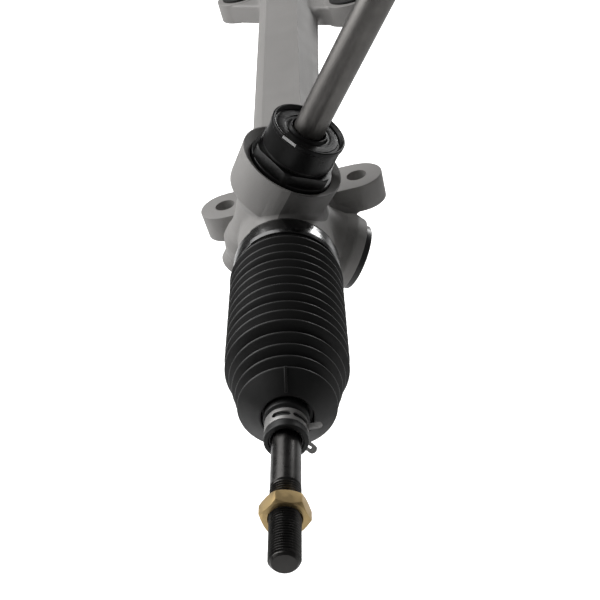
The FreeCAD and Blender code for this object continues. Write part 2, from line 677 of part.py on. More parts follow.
def make_pinion():
    above = S.bearing_seat + S.bearing_width
    clip_top = above + S.clip_width
    half_face = S.pinion_face / 2
    core = as_size(2 * (pitch_radius + S.profile_shift.value * S.tooth_module.value
                        - 1.25 * S.tooth_module.value) - 0.2) / 2
    journal, seat, shaft = S.journal_dia / 2, S.bearing_bore_dia / 2, S.shaft_dia / 2
    end, bevel = S.serration_dia / 2, S.shaft_bevel
    shoulder = seat + S.shoulder_height
    land = clip_top + S.clip_land
    last = S.shaft_top - S.serration_length
    groove = last + (S.serration_length - S.clamp_groove_length) * 0.45
    shank = turned("pinion_shank", [
        (S.journal_end, 0), (S.shaft_top, 0), (S.shaft_top, end - bevel),
        (S.shaft_top - bevel, end), (groove + S.clamp_groove_length, end),
        (groove + S.clamp_groove_length - bevel * 2, end - S.clamp_groove_depth),
        (groove + bevel * 2, end - S.clamp_groove_depth), (groove, end), (last, end),
        (last - bevel, shaft), (land + bevel, shaft), (land, seat),
        (clip_top, seat), (clip_top, seat - S.clip_depth), (above, seat - S.clip_depth),
        (above, seat), (S.bearing_seat, seat), (S.bearing_seat, shoulder),
        (S.bearing_seat - S.shoulder_width, shoulder), (half_face, core), (-half_face, core),
        (-half_face - S.gear_end_gap, journal), (S.journal_end + bevel, journal),
        (S.journal_end, journal - bevel)], pinion_frame)
    return keep("pinion_shaft", joined("pinion", [shank, make_teeth()]))


# Upper pinion bearing
def make_bearing():
    start, end = S.bearing_seat, S.bearing_seat + S.bearing_width
    middle_dia = (S.bearing_bore_dia + S.bearing_dia) / 2
    middle = pinion_frame * moved((start + end) / 2)
    track_radius = S.bearing_ball_dia / 2 + S.race_clearance

    def track(name):
        item = doc.addObject("Part::Torus", name)
        bind(item, Radius1=middle_dia / 2, Radius2=track_radius)
        item.Placement = middle * ALONG_X
        return item

    inner = ring("inner_race_blank", S.bearing_bore_dia, middle_dia - S.race_gap_dia,
                 start, end, pinion_frame)
    keep("bearing_inner_race", less("inner_race", inner, [track("inner_track")]))
    outer = ring("outer_race_blank", middle_dia + S.race_gap_dia, S.bearing_dia,
                 start, end, pinion_frame)
    keep("bearing_outer_race", less("outer_race", outer, [track("outer_track")]))

    def ball_set(name, dia):
        balls = []
        for number in range(int(S.bearing_balls.value)):
            angle = 360.0 / S.bearing_balls.value * number
            spot = middle * turned_by(X_AXIS, angle) * moved(0, middle_dia / 2)
            balls.append(sphere("%s_%d" % (name, number + 1), dia, spot))
        return balls

    balls = doc.addObject("Part::Compound", "balls")
    balls.Links = ball_set("ball", S.bearing_ball_dia)
    keep("bearing_balls", balls)
    band = ring("cage_band", middle_dia - 1, middle_dia + 1, start + 1.5, end - 1.5,
                pinion_frame)
    keep("bearing_cage", less("cage", band, ball_set("pocket", S.bearing_ball_dia + 0.2)))


# What holds and seals the pinion in its tower
def make_tower_parts():
    above = S.bearing_seat + S.bearing_width
    seat = S.bearing_bore_dia
    keep("pinion_circlip", ring("circlip", seat - S.clip_depth * 2, S.clip_dia, above,
                                above + S.clip_width, pinion_frame))
    cup_end = -S.pinion_face / 2 - S.gear_end_gap
    keep("lower_pinion_bush", ring("lower_bush", S.journal_dia + S.running_gap * 2,
                                   S.bush_cup_dia, cup_end - S.bush_cup_length,
                                   cup_end - 0.2, pinion_frame))
    plug, room, seal = S.plug_dia / 2, S.bearing_dia / 2 - 2.4, S.seal_dia / 2
    through = S.shaft_dia / 2 + 2.0
    keep("bearing_plug", turned("plug", [
        (above, room), (above + 3, room), (above + 3, through), (S.plug_web, through),
        (S.plug_web, seal), (S.plug_top, seal), (S.plug_top, plug - 0.6),
        (S.plug_top - 0.6, plug), (above, plug)], pinion_frame))
    shaft = S.shaft_dia / 2 + S.running_gap
    seal_end = S.plug_web + S.seal_height
    keep("shaft_seal", turned("seal", [
        (S.plug_web, shaft + 1.6), (S.plug_web + 1.5, shaft), (S.plug_web + 2.6, shaft),
        (S.plug_web + 4, shaft + 1.4), (seal_end, shaft + 0.4), (seal_end, seal),
        (S.plug_web, seal)], pinion_frame))
    bottom = S.tower_recess_floor + 0.2
    flange = ring("ring_flange", S.plug_dia + 0.1, S.ring_dia, bottom,
                  bottom + S.ring_flange, pinion_frame)
    upper = less("ring_hexagon_bored",
                 shared("ring_hexagon_round",
                        hexagon("ring_hexagon", S.ring_flats, bottom + 1,
                                bottom + S.ring_height, pinion_frame * turned_by(X_AXIS, -12)),
                        cylinder("ring_round", S.ring_dia, bottom, bottom + S.ring_height,
                                 pinion_frame)),
                 [cylinder("ring_bore", S.plug_dia + 0.1, bottom, bottom + S.ring_height + 1,
                           pinion_frame)])
    keep("plug_lock_ring", joined("lock_ring", [flange, upper]))
    rim, foot = S.cover_dia / 2, S.cover_foot_dia / 2
    face = S.cover_top - S.cover_recess
    lip = S.cover_lip_dia / 2
    mouth = S.shaft_dia / 2 + 0.3
    keep("dust_cover", turned("cover", [
        (S.cover_foot, plug + 0.05), (S.plug_top + 0.1, plug + 0.05),
        (S.plug_top + 0.1, mouth + 2), (face - 1.4, mouth), (S.cover_top - 0.2, mouth),
        (S.cover_top - 0.2, lip - 0.6), (face, lip), (face, rim - S.cover_rim),
        (S.cover_top, rim - S.cover_rim + 0.4), (S.cover_top, rim - 0.5),
        (S.cover_top - 0.5, rim), (S.cover_foot + 1.2, foot), (S.cover_foot, foot - 0.4)],
        pinion_frame))


# Yoke that holds the rack in mesh
def make_yoke_parts():
    radius = S.yoke_bore_dia / 2 - S.yoke_fit
    pocket = S.yoke_pocket_dia / 2
    depth = S.ring_cord * 0.8
    blank = turned("yoke_blank", [
        (S.yoke_front, 0), (S.yoke_front, radius), (S.ring_seat - S.ring_cord / 2, radius),
        (S.ring_seat - S.ring_cord / 2, radius - depth),
        (S.ring_seat + S.ring_cord / 2, radius - depth),
        (S.ring_seat + S.ring_cord / 2, radius), (S.yoke_back, radius), (S.yoke_back, pocket),
        (S.yoke_pocket_floor, pocket), (S.yoke_pocket_floor, 0)], yoke_frame)
    back_dia = S.rack_dia + S.running_gap * 2
    liner_dia = back_dia + S.liner_thickness * 2
    half = S.yoke_bore_dia.value / 2
    bed = cylinder("yoke_bed", liner_dia, -half * 1.5, half * 1.5, mesh_frame)
    keep("rack_yoke", less("yoke", blank, [bed]))
    shell = ring("liner_tube", back_dia, liner_dia, -S.liner_half_width, S.liner_half_width,
                 mesh_frame)
    side = S.rack_dia.value
    trim = block("liner_trim", side * 2, side, S.liner_half_width * 2,
                 mesh_frame * moved(0, S.yoke_front + side / 2))
    keep("yoke_liner", shared("liner", shell, trim))
    keep("yoke_o_ring", ring("o_ring", (radius - depth) * 2, (radius + S.yoke_fit) * 2,
                             S.ring_seat - S.ring_cord / 2 + 0.1,
                             S.ring_seat + S.ring_cord / 2 - 0.1, yoke_frame))
    screw = (radius + S.yoke_fit) - 0.02
    body = turned("yoke_plug_blank", [
        (S.plug_front, 0), (S.plug_back, 0), (S.plug_back, screw - 0.6),
        (S.plug_back - 0.6, screw), (S.plug_front, screw)], yoke_frame)
    socket = hexagon("plug_hexagon", S.plug_socket, S.plug_back - S.plug_socket_depth,
                     S.plug_back + 1, yoke_frame)
    keep("yoke_plug", less("yoke_screw", body, [socket]))
    nut, edge = S.yoke_nut_dia / 2, 0.7
    keep("yoke_lock_nut", turned("yoke_nut", [
        (S.yoke_boss_end, screw + 0.02), (S.yoke_nut_back - edge, screw + 0.02),
        (S.yoke_nut_back, screw + 0.02 + edge), (S.yoke_nut_back, nut - edge),
        (S.yoke_nut_back - edge, nut), (S.yoke_boss_end, nut)], yoke_frame))
    make_spring()


def make_spring():
    wire, turns = S.spring_wire.value, S.spring_turns.value
    start = S.yoke_pocket_floor.value + wire / 2
    height = S.plug_front.value - start - wire / 2
    coil = Part.makeHelix(height / turns, height, S.spring_dia.value / 2)
    circle = Part.makeCircle(wire / 2, Vector(S.spring_dia.value / 2, 0, 0), Vector(0, 1, 0))
    spring = doc.addObject("Part::Feature", "spring")
    spring.Shape = Part.Wire(coil.Edges).makePipeShell([Part.Wire(circle)], True, True)
    spring.Placement = yoke_frame * moved(start) * ALONG_X
    keep("yoke_spring", spring)


# Guide of the rack at the far end of the housing
def make_guide():
    frame = far_frame
    start = -S.housing_to_ball - S.guide_cover - S.guide_length
    keep("rack_bush", ring("guide", S.rack_dia + S.running_gap * 2, S.guide_dia, start,
                           -S.housing_to_ball - S.guide_cover, frame))
    keep("rack_bush_retainer", ring("guide_ring", S.rack_dia + 1.2, S.guide_dia,
                                    -S.housing_to_ball - S.guide_cover,
                                    -S.housing_to_ball - 0.4, frame))


# Rubber mounting bushes of the far bracket
def make_bushes(side, spot):
    height = S.bracket_thickness + S.bush_stand * 2
    tall = height + S.sleeve_stand * 2
    stand = rack_frame * moved(spot[0], spot[1]) * turned_by(Y_AXIS, -90)
    keep(side + "_bracket_bush", ring(side + "_rubber", S.sleeve_dia, S.bush_dia,
                                      -height / 2, height / 2, stand))
    keep(side + "_bracket_sleeve", ring(side + "_tube", S.sleeve_bore_dia, S.sleeve_dia,
                                        -tall / 2, tall / 2, stand))


# Inner ball joint, tie rod and boot of one side; X runs outwards from the ball centre
def make_boot(side, frame, rod_frame):
    wall = S.boot_wall
    outer, inner = [], []
    collar_end = -S.housing_to_ball - 1
    collar_start = -S.housing_to_ball - S.spigot_length
    outer += [(collar_start, S.boot_collar_dia / 2), (collar_end, S.boot_collar_dia / 2)]
    inner += [(collar_start, S.spigot_dia / 2), (-S.housing_to_ball + 0.2, S.spigot_dia / 2)]
    crest = S.fold_first
    dia, pitch = S.boot_crest_dia, S.fold_pitch
    depth = (S.boot_crest_dia - S.boot_valley_dia) / 2
    even, total = int(S.even_folds.value), int(S.even_folds.value + S.taper_folds.value)
    for fold in range(total):
        if fold:
            crest = crest + pitch
        if fold == even:
            dia = dia - S.taper_drop
        if fold >= even:
            dia = dia - S.taper_step
        before = crest - pitch / 2
        valley = dia / 2 - depth if fold else S.boot_shoulder_dia / 2
        outer += [(before, valley), (crest, dia / 2)]
        inner += [(before + wall * 0.4, valley - wall), (crest, dia / 2 - wall * 1.5)]
        if fold + 1 >= even:
            pitch = S.taper_pitch
    rim = S.boot_step_dia / 2
    outer += [(crest + 1.2, dia / 2 - 1.2), (S.boot_face, S.boot_face_dia / 2),
              (S.boot_step, rim)]
    inner += [(S.boot_face - wall, S.boot_face_dia / 2 - wall * 1.4),
              (S.boot_step - wall, rim - wall), (S.boot_step - wall, S.neck_dia / 2 - wall),
              (S.boot_step, S.neck_dia / 2 - wall)]
    bellows = turned(side + "_bellows", outer + list(reversed(inner)), frame)
    mouth = S.rod_dia / 2 + S.neck_gap
    clamp_end = S.small_clamp_start + S.small_clamp_width
    neck = turned(side + "_neck", [
        (S.boot_step - wall, mouth), (S.neck_end, mouth),
        (S.neck_end, S.neck_bead_dia / 2 - 0.6), (S.neck_end - 0.6, S.neck_bead_dia / 2),
        (clamp_end + 0.2, S.neck_bead_dia / 2), (clamp_end + 0.1, S.neck_dia / 2),
        (S.neck_start, S.neck_dia / 2), (S.boot_step + 1, rim - 1),
        (S.boot_step - wall, rim - 1)], rod_frame)
    keep(side + "_boot", joined(side + "_rubber_boot", [bellows, neck]))
    make_clamps(side, frame)


def make_clamps(side, frame):
    band_start = -S.housing_to_ball - S.spigot_length + 1
    band_end = band_start + S.large_clamp_width
    outer = S.boot_collar_dia + S.large_clamp_wall * 2
    band = ring(side + "_large_band", S.boot_collar_dia, outer, band_start, band_end, frame)
    below = frame * moved((band_start + band_end) / 2, 0,
                          -outer / 2 - S.clamp_ear_height / 2 + 0.4)
    ear = block(side + "_large_ear", S.large_clamp_width * 0.6, S.clamp_ear_width,
                S.clamp_ear_height, below)
    slot = block(side + "_ear_slot", S.large_clamp_width, S.clamp_ear_width - 2.4,
                 S.clamp_ear_height - 2, below)
    keep(side + "_large_clamp", less(side + "_large_strap",
                                     joined(side + "_large_metal", [band, ear]), [slot]))


def make_small_clamp(side, frame):
    start = S.small_clamp_start
    end = start + S.small_clamp_width
    inner = S.neck_dia + S.small_clamp_gap * 2
    outer = inner + S.small_clamp_wall * 2
    band = ring(side + "_small_band", inner, outer, start, end, frame)
    tabs = []
    for word, angle in (("upper", S.clamp_tab_first), ("lower", S.clamp_tab_second)):
        spoke = frame * moved((start + end) / 2) * turned_by(X_AXIS, angle)
        reach = S.clamp_tab_reach + 0.4
        tabs.append(block(side + "_tab_" + word, S.clamp_tab_width, reach,
                          S.small_clamp_wall, spoke * moved(0, outer / 2 + reach / 2 - 0.4)))
    keep(side + "_small_clamp", joined(side + "_small_strap", [band] + tabs))


def make_ball_joint(side, frame):
    seat_outer = S.ball_dia + S.ball_gap * 2 + S.seat_wall * 2
    cavity = seat_outer + S.ball_gap * 2
    half, bevel = S.socket_dia / 2, 1.5
    stud = S.rack_stud_dia / 2 - S.running_gap
    back = -S.socket_back
    root = back - S.washer_thickness
    stud_end = root - S.rack_stud_depth
    blank = turned(side + "_socket_blank", [
        (stud_end, 0), (stud_end, stud - 1), (stud_end + 1, stud), (back, stud), (back, half),
        (S.socket_front - bevel * 2, half), (S.socket_front, half - bevel),
        (S.socket_front, 0)], frame)
    # the mouth is a cone from the ball centre, longer than the socket
    reach = S.socket_dia
    mouth = cone(side + "_mouth", 0, reach * (2 * math.tan(math.radians(S.socket_mouth.value))),
                 0, reach, frame)
    flats = []
    for word, sign in (("top", 1), ("bottom", -1)):
        offset = (S.socket_flats / 2 + S.socket_dia / 2) * sign
        flats.append(block(side + "_flat_" + word, S.socket_flats_length, S.socket_dia,
                           S.socket_dia, frame * moved(back + S.socket_flats_length / 2, 0,
                                                       offset)))
    hollow = [sphere(side + "_cavity", cavity, frame), mouth] + flats
    keep(side + "_ball_socket", less(side + "_socket", blank, hollow))
    keep(side + "_stop_washer", ring(side + "_washer", S.rack_stud_dia, S.washer_dia, root,
                                     back, frame))
    seat_mouth = cone(side + "_seat_mouth", 0,
                      reach * (2 * math.tan(math.radians(S.seat_mouth.value))), 0, reach,
                      frame)
    keep(side + "_ball_seat", less(side + "_seat", sphere(side + "_seat_ball", seat_outer,
                                                          frame),
                                   [sphere(side + "_ball_room", S.ball_dia + S.ball_gap * 2,
                                           frame), seat_mouth]))


def make_tie_rod(side, frame):
    neck, shank, thread = S.rod_neck_dia / 2, S.rod_dia / 2, S.thread_dia / 2
    start, end = S.nut_station, S.nut_station + S.nut_thickness
    engaged = S.nut_bore_dia / 2 - 0.01
    stem = turned(side + "_stem", [
        (0, 0), (S.rod_end, 0), (S.rod_end, thread - S.rod_chamfer),
        (S.rod_end - S.rod_chamfer, thread), (end + S.nut_relief, thread),
        (end + S.nut_relief, engaged), (start - S.nut_relief, engaged),
        (start - S.nut_relief, thread), (S.thread_start + 1.6, thread),
        (S.thread_start + 1.2, thread - 0.5), (S.thread_start + 0.4, thread - 0.5),
        (S.thread_start, shank), (S.rod_neck_end, shank), (S.rod_neck_end - 3, neck),
        (0, neck)], frame)
    keep(side + "_tie_rod", joined(side + "_rod", [stem, sphere(side + "_ball", S.ball_dia,
                                                                frame)]))
    flats = S.nut_flats
    corner = flats / 3 ** 0.5
    bevel_drop = (corner - flats / 2) * 0.58
    nut_frame = frame * turned_by(X_AXIS, -S.nut_turn)
    prism = hexagon(side + "_nut_hexagon", flats, start, end, nut_frame)
    dome = turned(side + "_nut_bevels", [
        (start, engaged + 0.01), (end, engaged + 0.01), (end, flats / 2 - 0.2),
        (end - bevel_drop, corner), (start + bevel_drop, corner), (start, flats / 2 - 0.2)],
        frame)
    keep(side + "_lock_nut", shared(side + "_nut", prism, dome))


def write_pieces():
    doc.recompute()
    for item in doc.Objects:
        if "Invalid" in item.State or "Error" in item.State:
            raise RuntimeError("%s did not recompute: %s" % (item.Label, item.State))
    for item in pieces:
        shape = item.Shape
        if shape.isNull() or not shape.isValid() or not shape.Solids:
            raise RuntimeError(item.Label + " has no valid shape")
        shape.exportStep("parts/%s.step" % item.Label)
        print("%-24s %d solid(s) %10.1f mm3" % (item.Label, len(shape.Solids), shape.Volume))


make_housing()
make_rack()
make_pinion()
make_bearing()
make_tower_parts()
make_yoke_parts()
make_guide()
make_bushes("right", bracket_right)
make_bushes("left", bracket_left)
for side, frame in (("near", near_frame), ("far", far_frame)):
    rod_frame = frame * turned_by(Z_AXIS, -S.rod_yaw)
    make_boot(side, frame, rod_frame)
    make_ball_joint(side, frame)
    make_tie_rod(side, rod_frame)
    make_small_clamp(side, rod_frame)
write_pieces()
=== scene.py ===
# %% [markdown]
# # A steering rack, dressed
# The CAD model already holds every sub-part at its real size. This script loads it as a fixed
# frame and makes the pieces that show look as they do on the real object: a sand-grey casting
# with soft fillets, a moulded rubber boot, dark oiled steel and one yellow nut.

# %% The frame
import json
import math

import bpy
from mathutils import Matrix, Vector


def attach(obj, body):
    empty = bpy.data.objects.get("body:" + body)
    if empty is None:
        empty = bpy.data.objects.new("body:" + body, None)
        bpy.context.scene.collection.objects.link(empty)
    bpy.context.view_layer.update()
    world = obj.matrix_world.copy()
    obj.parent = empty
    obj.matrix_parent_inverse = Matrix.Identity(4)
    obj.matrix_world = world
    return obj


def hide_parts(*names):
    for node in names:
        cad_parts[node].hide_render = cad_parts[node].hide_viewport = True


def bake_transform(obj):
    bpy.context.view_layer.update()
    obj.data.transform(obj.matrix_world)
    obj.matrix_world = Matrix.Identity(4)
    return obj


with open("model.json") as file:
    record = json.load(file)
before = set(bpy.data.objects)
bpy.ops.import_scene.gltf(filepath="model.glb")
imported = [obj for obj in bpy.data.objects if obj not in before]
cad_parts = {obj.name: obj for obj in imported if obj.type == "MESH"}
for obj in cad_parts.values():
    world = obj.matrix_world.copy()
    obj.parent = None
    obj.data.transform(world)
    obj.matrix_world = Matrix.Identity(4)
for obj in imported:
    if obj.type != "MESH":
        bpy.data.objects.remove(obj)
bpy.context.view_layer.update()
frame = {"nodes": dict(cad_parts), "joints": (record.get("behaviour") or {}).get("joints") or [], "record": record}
MM = 0.001
print("CAD nodes:", len(frame["nodes"]))

# %% [markdown]
# ## Places
# The ball joints and the pinion axis are joints of the frame, so their places are read from it.
# Each place is a matrix whose X runs along the axis of what is turned there, as in the CAD model.

# %% Places read from the joints and mounts
def joint(name):
    return next(item for item in frame["joints"] if item["name"] == name)


def mount(name):
    return next(item for item in frame["record"]["mounts"] if item["name"] == name)


def place_at(point, along, side):
    """A matrix at a point with X along one direction and Y towards another."""
    x = Vector(along).normalized()
    z = x.cross(Vector(side)).normalized()
    y = z.cross(x)
    turn = Matrix((x, y, z)).transposed().to_4x4()
    return Matrix.Translation(Vector(point)) @ turn


near_ball = Vector(joint("near_rod_steer")["pos_m"])
far_ball = Vector(joint("far_rod_steer")["pos_m"])
pinion_point = Vector(joint("pinion_turn")["pos_m"])
pinion_axis = Vector(joint("pinion_turn")["axis"])
yoke_axis = Vector((0, near_ball.y, near_ball.z)) - Vector((0, pinion_point.y, pinion_point.z))
yoke_axis.normalize()

rack_place = Matrix.Translation(Vector((0, near_ball.y, near_ball.z)))
near_place = Matrix.Translation(near_ball)
far_place = place_at(far_ball, (-1, 0, 0), (0, -1, 0))
near_rod_place = place_at(near_ball, mount("near_rod_thread")["axis"], (0, 1, 0))
far_rod_place = place_at(far_ball, mount("far_rod_thread")["axis"], (0, -1, 0))
pinion_place = place_at(pinion_point, pinion_axis, yoke_axis)
yoke_point = Vector((pinion_point.x, near_ball.y, near_ball.z))
yoke_place = place_at(yoke_point, yoke_axis, (-1, 0, 0))
print("rack axis at y %.1f z %.1f mm" % (near_ball.y / MM, near_ball.z / MM))

# %% [markdown]
# ## The camera
# The photograph looks along the gear from its near end, from above and close by. The lens and
# the camera's three directions come from the boot's rings and the two eyes.

# %% The camera
LENS = 64.516
CAMERA_SPOT = (0.51755, 0.06328, 0.27686)
RIGHT = Vector((0.01399, 0.97020, -0.24190))
DOWN = Vector((0.54929, -0.20961, -0.80892))
FORWARD = Vector((-0.83552, -0.12156, -0.53585))


def make_camera():
    data = bpy.data.cameras.new("camera")
    data.sensor_width = 36.0
    data.lens = LENS
    data.clip_start = 0.01
    camera = bpy.data.objects.new("camera", data)
    turn = Matrix((RIGHT, -DOWN, -FORWARD)).transposed().to_4x4()
    camera.matrix_world = Matrix.Translation(Vector(CAMERA_SPOT)) @ turn
    bpy.context.scene.collection.objects.link(camera)
    bpy.context.scene.camera = camera


make_camera()
print("camera lens: %.1f mm" % LENS)

# %% [markdown]
# ## The lamps
# The photograph has a large soft light high on the left. A small low one behind on the right
# draws the thin bright lines along the folds and the rod. Point lamps would give hard shadows,
# so each lamp is a rectangle. The Standard transform shows colours as they are written.

# %% Three soft lamps
LAMP_TARGET = (0.02, 0.0, 0.03)


def area_light(name, spot, size, power):
    """A rectangular lamp that faces the gear."""
    data = bpy.data.lights.new(name, "AREA")
    data.shape = "RECTANGLE"
    data.size, data.size_y = size
    data.energy = power
    lamp = bpy.data.objects.new(name, data)
    lamp.location = spot
    towards = Vector(LAMP_TARGET) - Vector(spot)
    lamp.rotation_euler = towards.to_track_quat("-Z", "Y").to_euler()
    bpy.context.scene.collection.objects.link(lamp)


bpy.context.scene.view_settings.view_transform = "Standard"
area_light("soft_left", (0.00, -1.45, 1.15), (1.8, 1.2), 34)
area_light("key_top", (-0.90, -0.75, 1.45), (1.4, 1.4), 20)
area_light("low_right", (-1.35, 0.90, 0.28), (0.4, 0.4), 8)
print("lamps:", len(bpy.data.lights))

# %% [markdown]
# ## Modelling by hand, in a few helpers
# Most of the gear is turned on a lathe or cast, so two tools do most of the work: a lathe that
# spins an outline, and boolean modifiers that cut and join closed solids. Each operator acts on
# all that is selected, so every helper first deselects everything and picks its own piece.

# %% Picking, placing and modifying a piece
def deselect():
    if bpy.context.object and bpy.context.object.mode != "OBJECT":
        bpy.ops.object.mode_set(mode="OBJECT")
    bpy.ops.object.select_all(action="DESELECT")


def pick(piece):
    deselect()
    piece.select_set(True)
    bpy.context.view_layer.objects.active = piece


def settle(piece, place):
    """Put a piece drawn in metres about the origin into its place, and keep that in its mesh."""
    piece.matrix_world = place
    pick(piece)
    bpy.ops.object.transform_apply(location=True, rotation=True, scale=True)
    return piece


def modify(piece, kind, **settings):
    """Add a modifier, set it and apply it."""
    pick(piece)
    modifier = piece.modifiers.new(kind.lower(), kind)
    for name, value in settings.items():
        setattr(modifier, name, value)
    bpy.ops.object.modifier_apply(modifier=modifier.name)
    return piece


def combine(piece, tool, operation):
    """A boolean of two closed solids; the tool is used up."""
    modify(piece, "BOOLEAN", operation=operation, object=tool, solver="MANIFOLD")
    bpy.data.objects.remove(tool)
    return piece


def smooth(piece, angle=30.0):
    pick(piece)
    bpy.ops.object.shade_smooth_by_angle(angle=math.radians(angle))
    return piece


print("piece helpers ready")

# %% [markdown]
# ## Rounded outlines
# The broken edge of a machined part is what catches the light. A Bevel modifier could round it
# after the spin, but rounding the outline first is exact and leaves all other faces alone.

# %% Rounding the corners of an outline
def rounded(corners, segments=5):
    """Replace each corner (along, radius, fillet) of a closed outline by a small arc."""
    points = []
    count = len(corners)
    for number, corner in enumerate(corners):
        here = Vector(corner[:2])
        fillet = corner[2] if len(corner) > 2 else 0.0
        before = Vector(corners[number - 1][:2]) - here
        after = Vector(corners[(number + 1) % count][:2]) - here
        half = before.angle(after) / 2 if before.length and after.length else 0
        if fillet <= 0 or half < 0.02 or half > 1.55:
            points.append(here)
            continue
        run = min(fillet / math.tan(half), before.length * 0.48, after.length * 0.48)
        radius = run * math.tan(half)
        start = here + before.normalized() * run
        end = here + after.normalized() * run
        centre = here + (before.normalized() + after.normalized()).normalized() * (
            radius / math.sin(half))
        first, last = start - centre, end - centre
        sweep = first.angle_signed(last)
        for step in range(segments + 1):
            turn = Matrix.Rotation(-sweep * step / segments, 2)
            points.append(centre + turn @ first)
    return points


print("one rounded corner has", len(rounded([(0, 0), (1, 0, 0.2), (1, 1)])) - 2, "points")

# %% [markdown]
# ## The lathe
# Boots, clamps, caps and rods are all round. A circle primitive gives a closed loop of points,
# they are moved onto the outline, and Spin turns the loop about X. Spin leaves a doubled seam
# and may leave the faces inward, so both are put right.

# %% Turning an outline
def lathe(name, corners, place, steps=128):
    """Spin a closed outline, in millimetres, about the X axis of a place."""
    points = rounded(corners)
    deselect()
    bpy.ops.mesh.primitive_circle_add(vertices=len(points))
    piece = bpy.context.object
    piece.name = name
    for vertex, point in zip(piece.data.vertices, points):
        vertex.co = (point.x * MM, max(point.y, 0.0) * MM, 0)
    bpy.ops.object.mode_set(mode="EDIT")
    bpy.ops.mesh.select_all(action="SELECT")
    bpy.ops.mesh.spin(steps=steps, angle=math.tau, center=(0, 0, 0), axis=(1, 0, 0))
    bpy.ops.mesh.select_all(action="SELECT")
    bpy.ops.mesh.remove_doubles(threshold=1e-7)
    bpy.ops.mesh.dissolve_degenerate(threshold=1e-7)
    bpy.ops.mesh.normals_make_consistent(inside=False)
    bpy.ops.object.mode_set(mode="OBJECT")
    return settle(piece, place)


def ring(name, inner, outer, start, end, place, fillet=0.0, steps=128):
    corners = [(start, inner, fillet), (end, inner, fillet), (end, outer, fillet),
               (start, outer, fillet)]
    return lathe(name, corners, place, steps)


print("lathe ready")

# %% [markdown]
# ## Rods, boxes and places
# Plain rods and boxes are primitives added at their size. They mostly serve as rough forms and
# as cutting tools, because the finished pieces need rounder edges.

# %% Rods, boxes and places on an axis
def rod(name, radius, start, end, place, steps=96, tip=None):
    """A round solid along X; tip is the radius at the far end when it tapers."""
    deselect()
    far = radius if tip is None else tip
    bpy.ops.mesh.primitive_cone_add(vertices=steps, radius1=radius * MM, radius2=far * MM,
                                    depth=(end - start) * MM)
    piece = bpy.context.object
    piece.name = name
    lie = Matrix.Translation(Vector(((start + end) / 2 * MM, 0, 0)))
    return settle(piece, place @ lie @ Matrix.Rotation(math.pi / 2, 4, "Y"))


def slab(name, size, place, middle=(0, 0, 0)):
    """A box of this size about a point of a place."""
    deselect()
    bpy.ops.mesh.primitive_cube_add(size=1)
    piece = bpy.context.object
    piece.name = name
    piece.scale = Vector(size) * MM
    bpy.ops.object.transform_apply(scale=True)
    return settle(piece, place @ Matrix.Translation(Vector(middle) * MM))


def radial(place, along, angle):
    """A place on an axis whose Z points out from it at an angle, measured from Y to Z."""
    spin = Matrix.Rotation(math.radians(angle - 90), 4, "X")
    return place @ Matrix.Translation((along * MM, 0, 0)) @ spin


def join(name, items):
    deselect()
    for item in items:
        item.select_set(True)
    bpy.context.view_layer.objects.active = items[0]
    bpy.ops.object.join()
    items[0].name = name
    return items[0]


print("rods and boxes ready")

# %% [markdown]
# ## Shader maths as plain expressions
# A socket is wrapped in a small class, so a pattern can be written as a formula and each
# operator adds the Math node for it.

# %% The socket class
class Socket:
    def __init__(self, shader, output):
        self.shader = shader
        self.output = output

    def math(self, operation, *others):
        return self.shader.node("ShaderNodeMath", {"operation": operation}, [self, *others])

    def __add__(self, other):
        return self.math("ADD", other)

    def __radd__(self, other):
        return self.math("ADD", other)

    def __sub__(self, other):
        return self.math("SUBTRACT", other)

    def __rsub__(self, other):
        return self.shader.node("ShaderNodeMath", {"operation": "SUBTRACT"}, [other, self])

    def __mul__(self, other):
        return self.math("MULTIPLY", other)

    def __rmul__(self, other):
        return self.math("MULTIPLY", other)


print("socket class ready")

# %% [markdown]
# ## One maker of materials
# Every finish here is one Principled shader with small patterns in its colour, roughness and
# bump. What is the same all over is a constant on the shader's own socket.

# %% The shader class
class Shader:
    """A new material with one Principled shader, and one method that adds any other node."""

    def __init__(self, name, constants):
        self.material = bpy.data.materials.new(name)
        self.material.use_nodes = True
        self.tree = self.material.node_tree
        self.surface = self.tree.nodes["Principled BSDF"]
        for word, value in constants.items():
            self.surface.inputs[word].default_value = value
        self.place = self.node("ShaderNodeTexCoord", output="Object")

    def node(self, kind, settings=None, sockets=(), output=0):
        made = self.tree.nodes.new(kind)
        for word, value in (settings or {}).items():
            setattr(made, word, value)
        pairs = sockets.items() if isinstance(sockets, dict) else enumerate(sockets)
        for word, value in pairs:
            if isinstance(value, Socket):
                self.tree.links.new(value.output, made.inputs[word])
            else:
                made.inputs[word].default_value = value
        return Socket(self, made.outputs[output])

    def noise(self, scale, detail=3.0, rough=0.55):
        return self.node("ShaderNodeTexNoise", {},
                         {"Vector": self.place, "Scale": scale, "Detail": detail,
                          "Roughness": rough}, output="Fac")

    def between(self, mask, low, high):
        """A number that goes from low to high as the mask goes from 0 to 1."""
        return self.node("ShaderNodeMapRange", {},
                         {"Value": mask, "From Min": 0.3, "From Max": 0.7, "To Min": low,
                          "To Max": high})

    def blend(self, mask, low, high):
        """A colour that goes from low to high as the mask goes from 0 to 1."""
        return self.node("ShaderNodeMix", {"data_type": "RGBA"},
                         {0: mask, 6: low, 7: high}, output=2)

    def feed(self, word, value):
        self.tree.links.new(value.output, self.surface.inputs[word])

    def bump(self, height, distance, strength=1.0):
        normal = self.node("ShaderNodeBump", {},
                           {"Height": height, "Distance": distance, "Strength": strength})
        self.feed("Normal", normal)


def grey(level, warm=0.0):
    return (level * (1 + warm), level, level * (1 - warm), 1.0)


print("shader class ready")

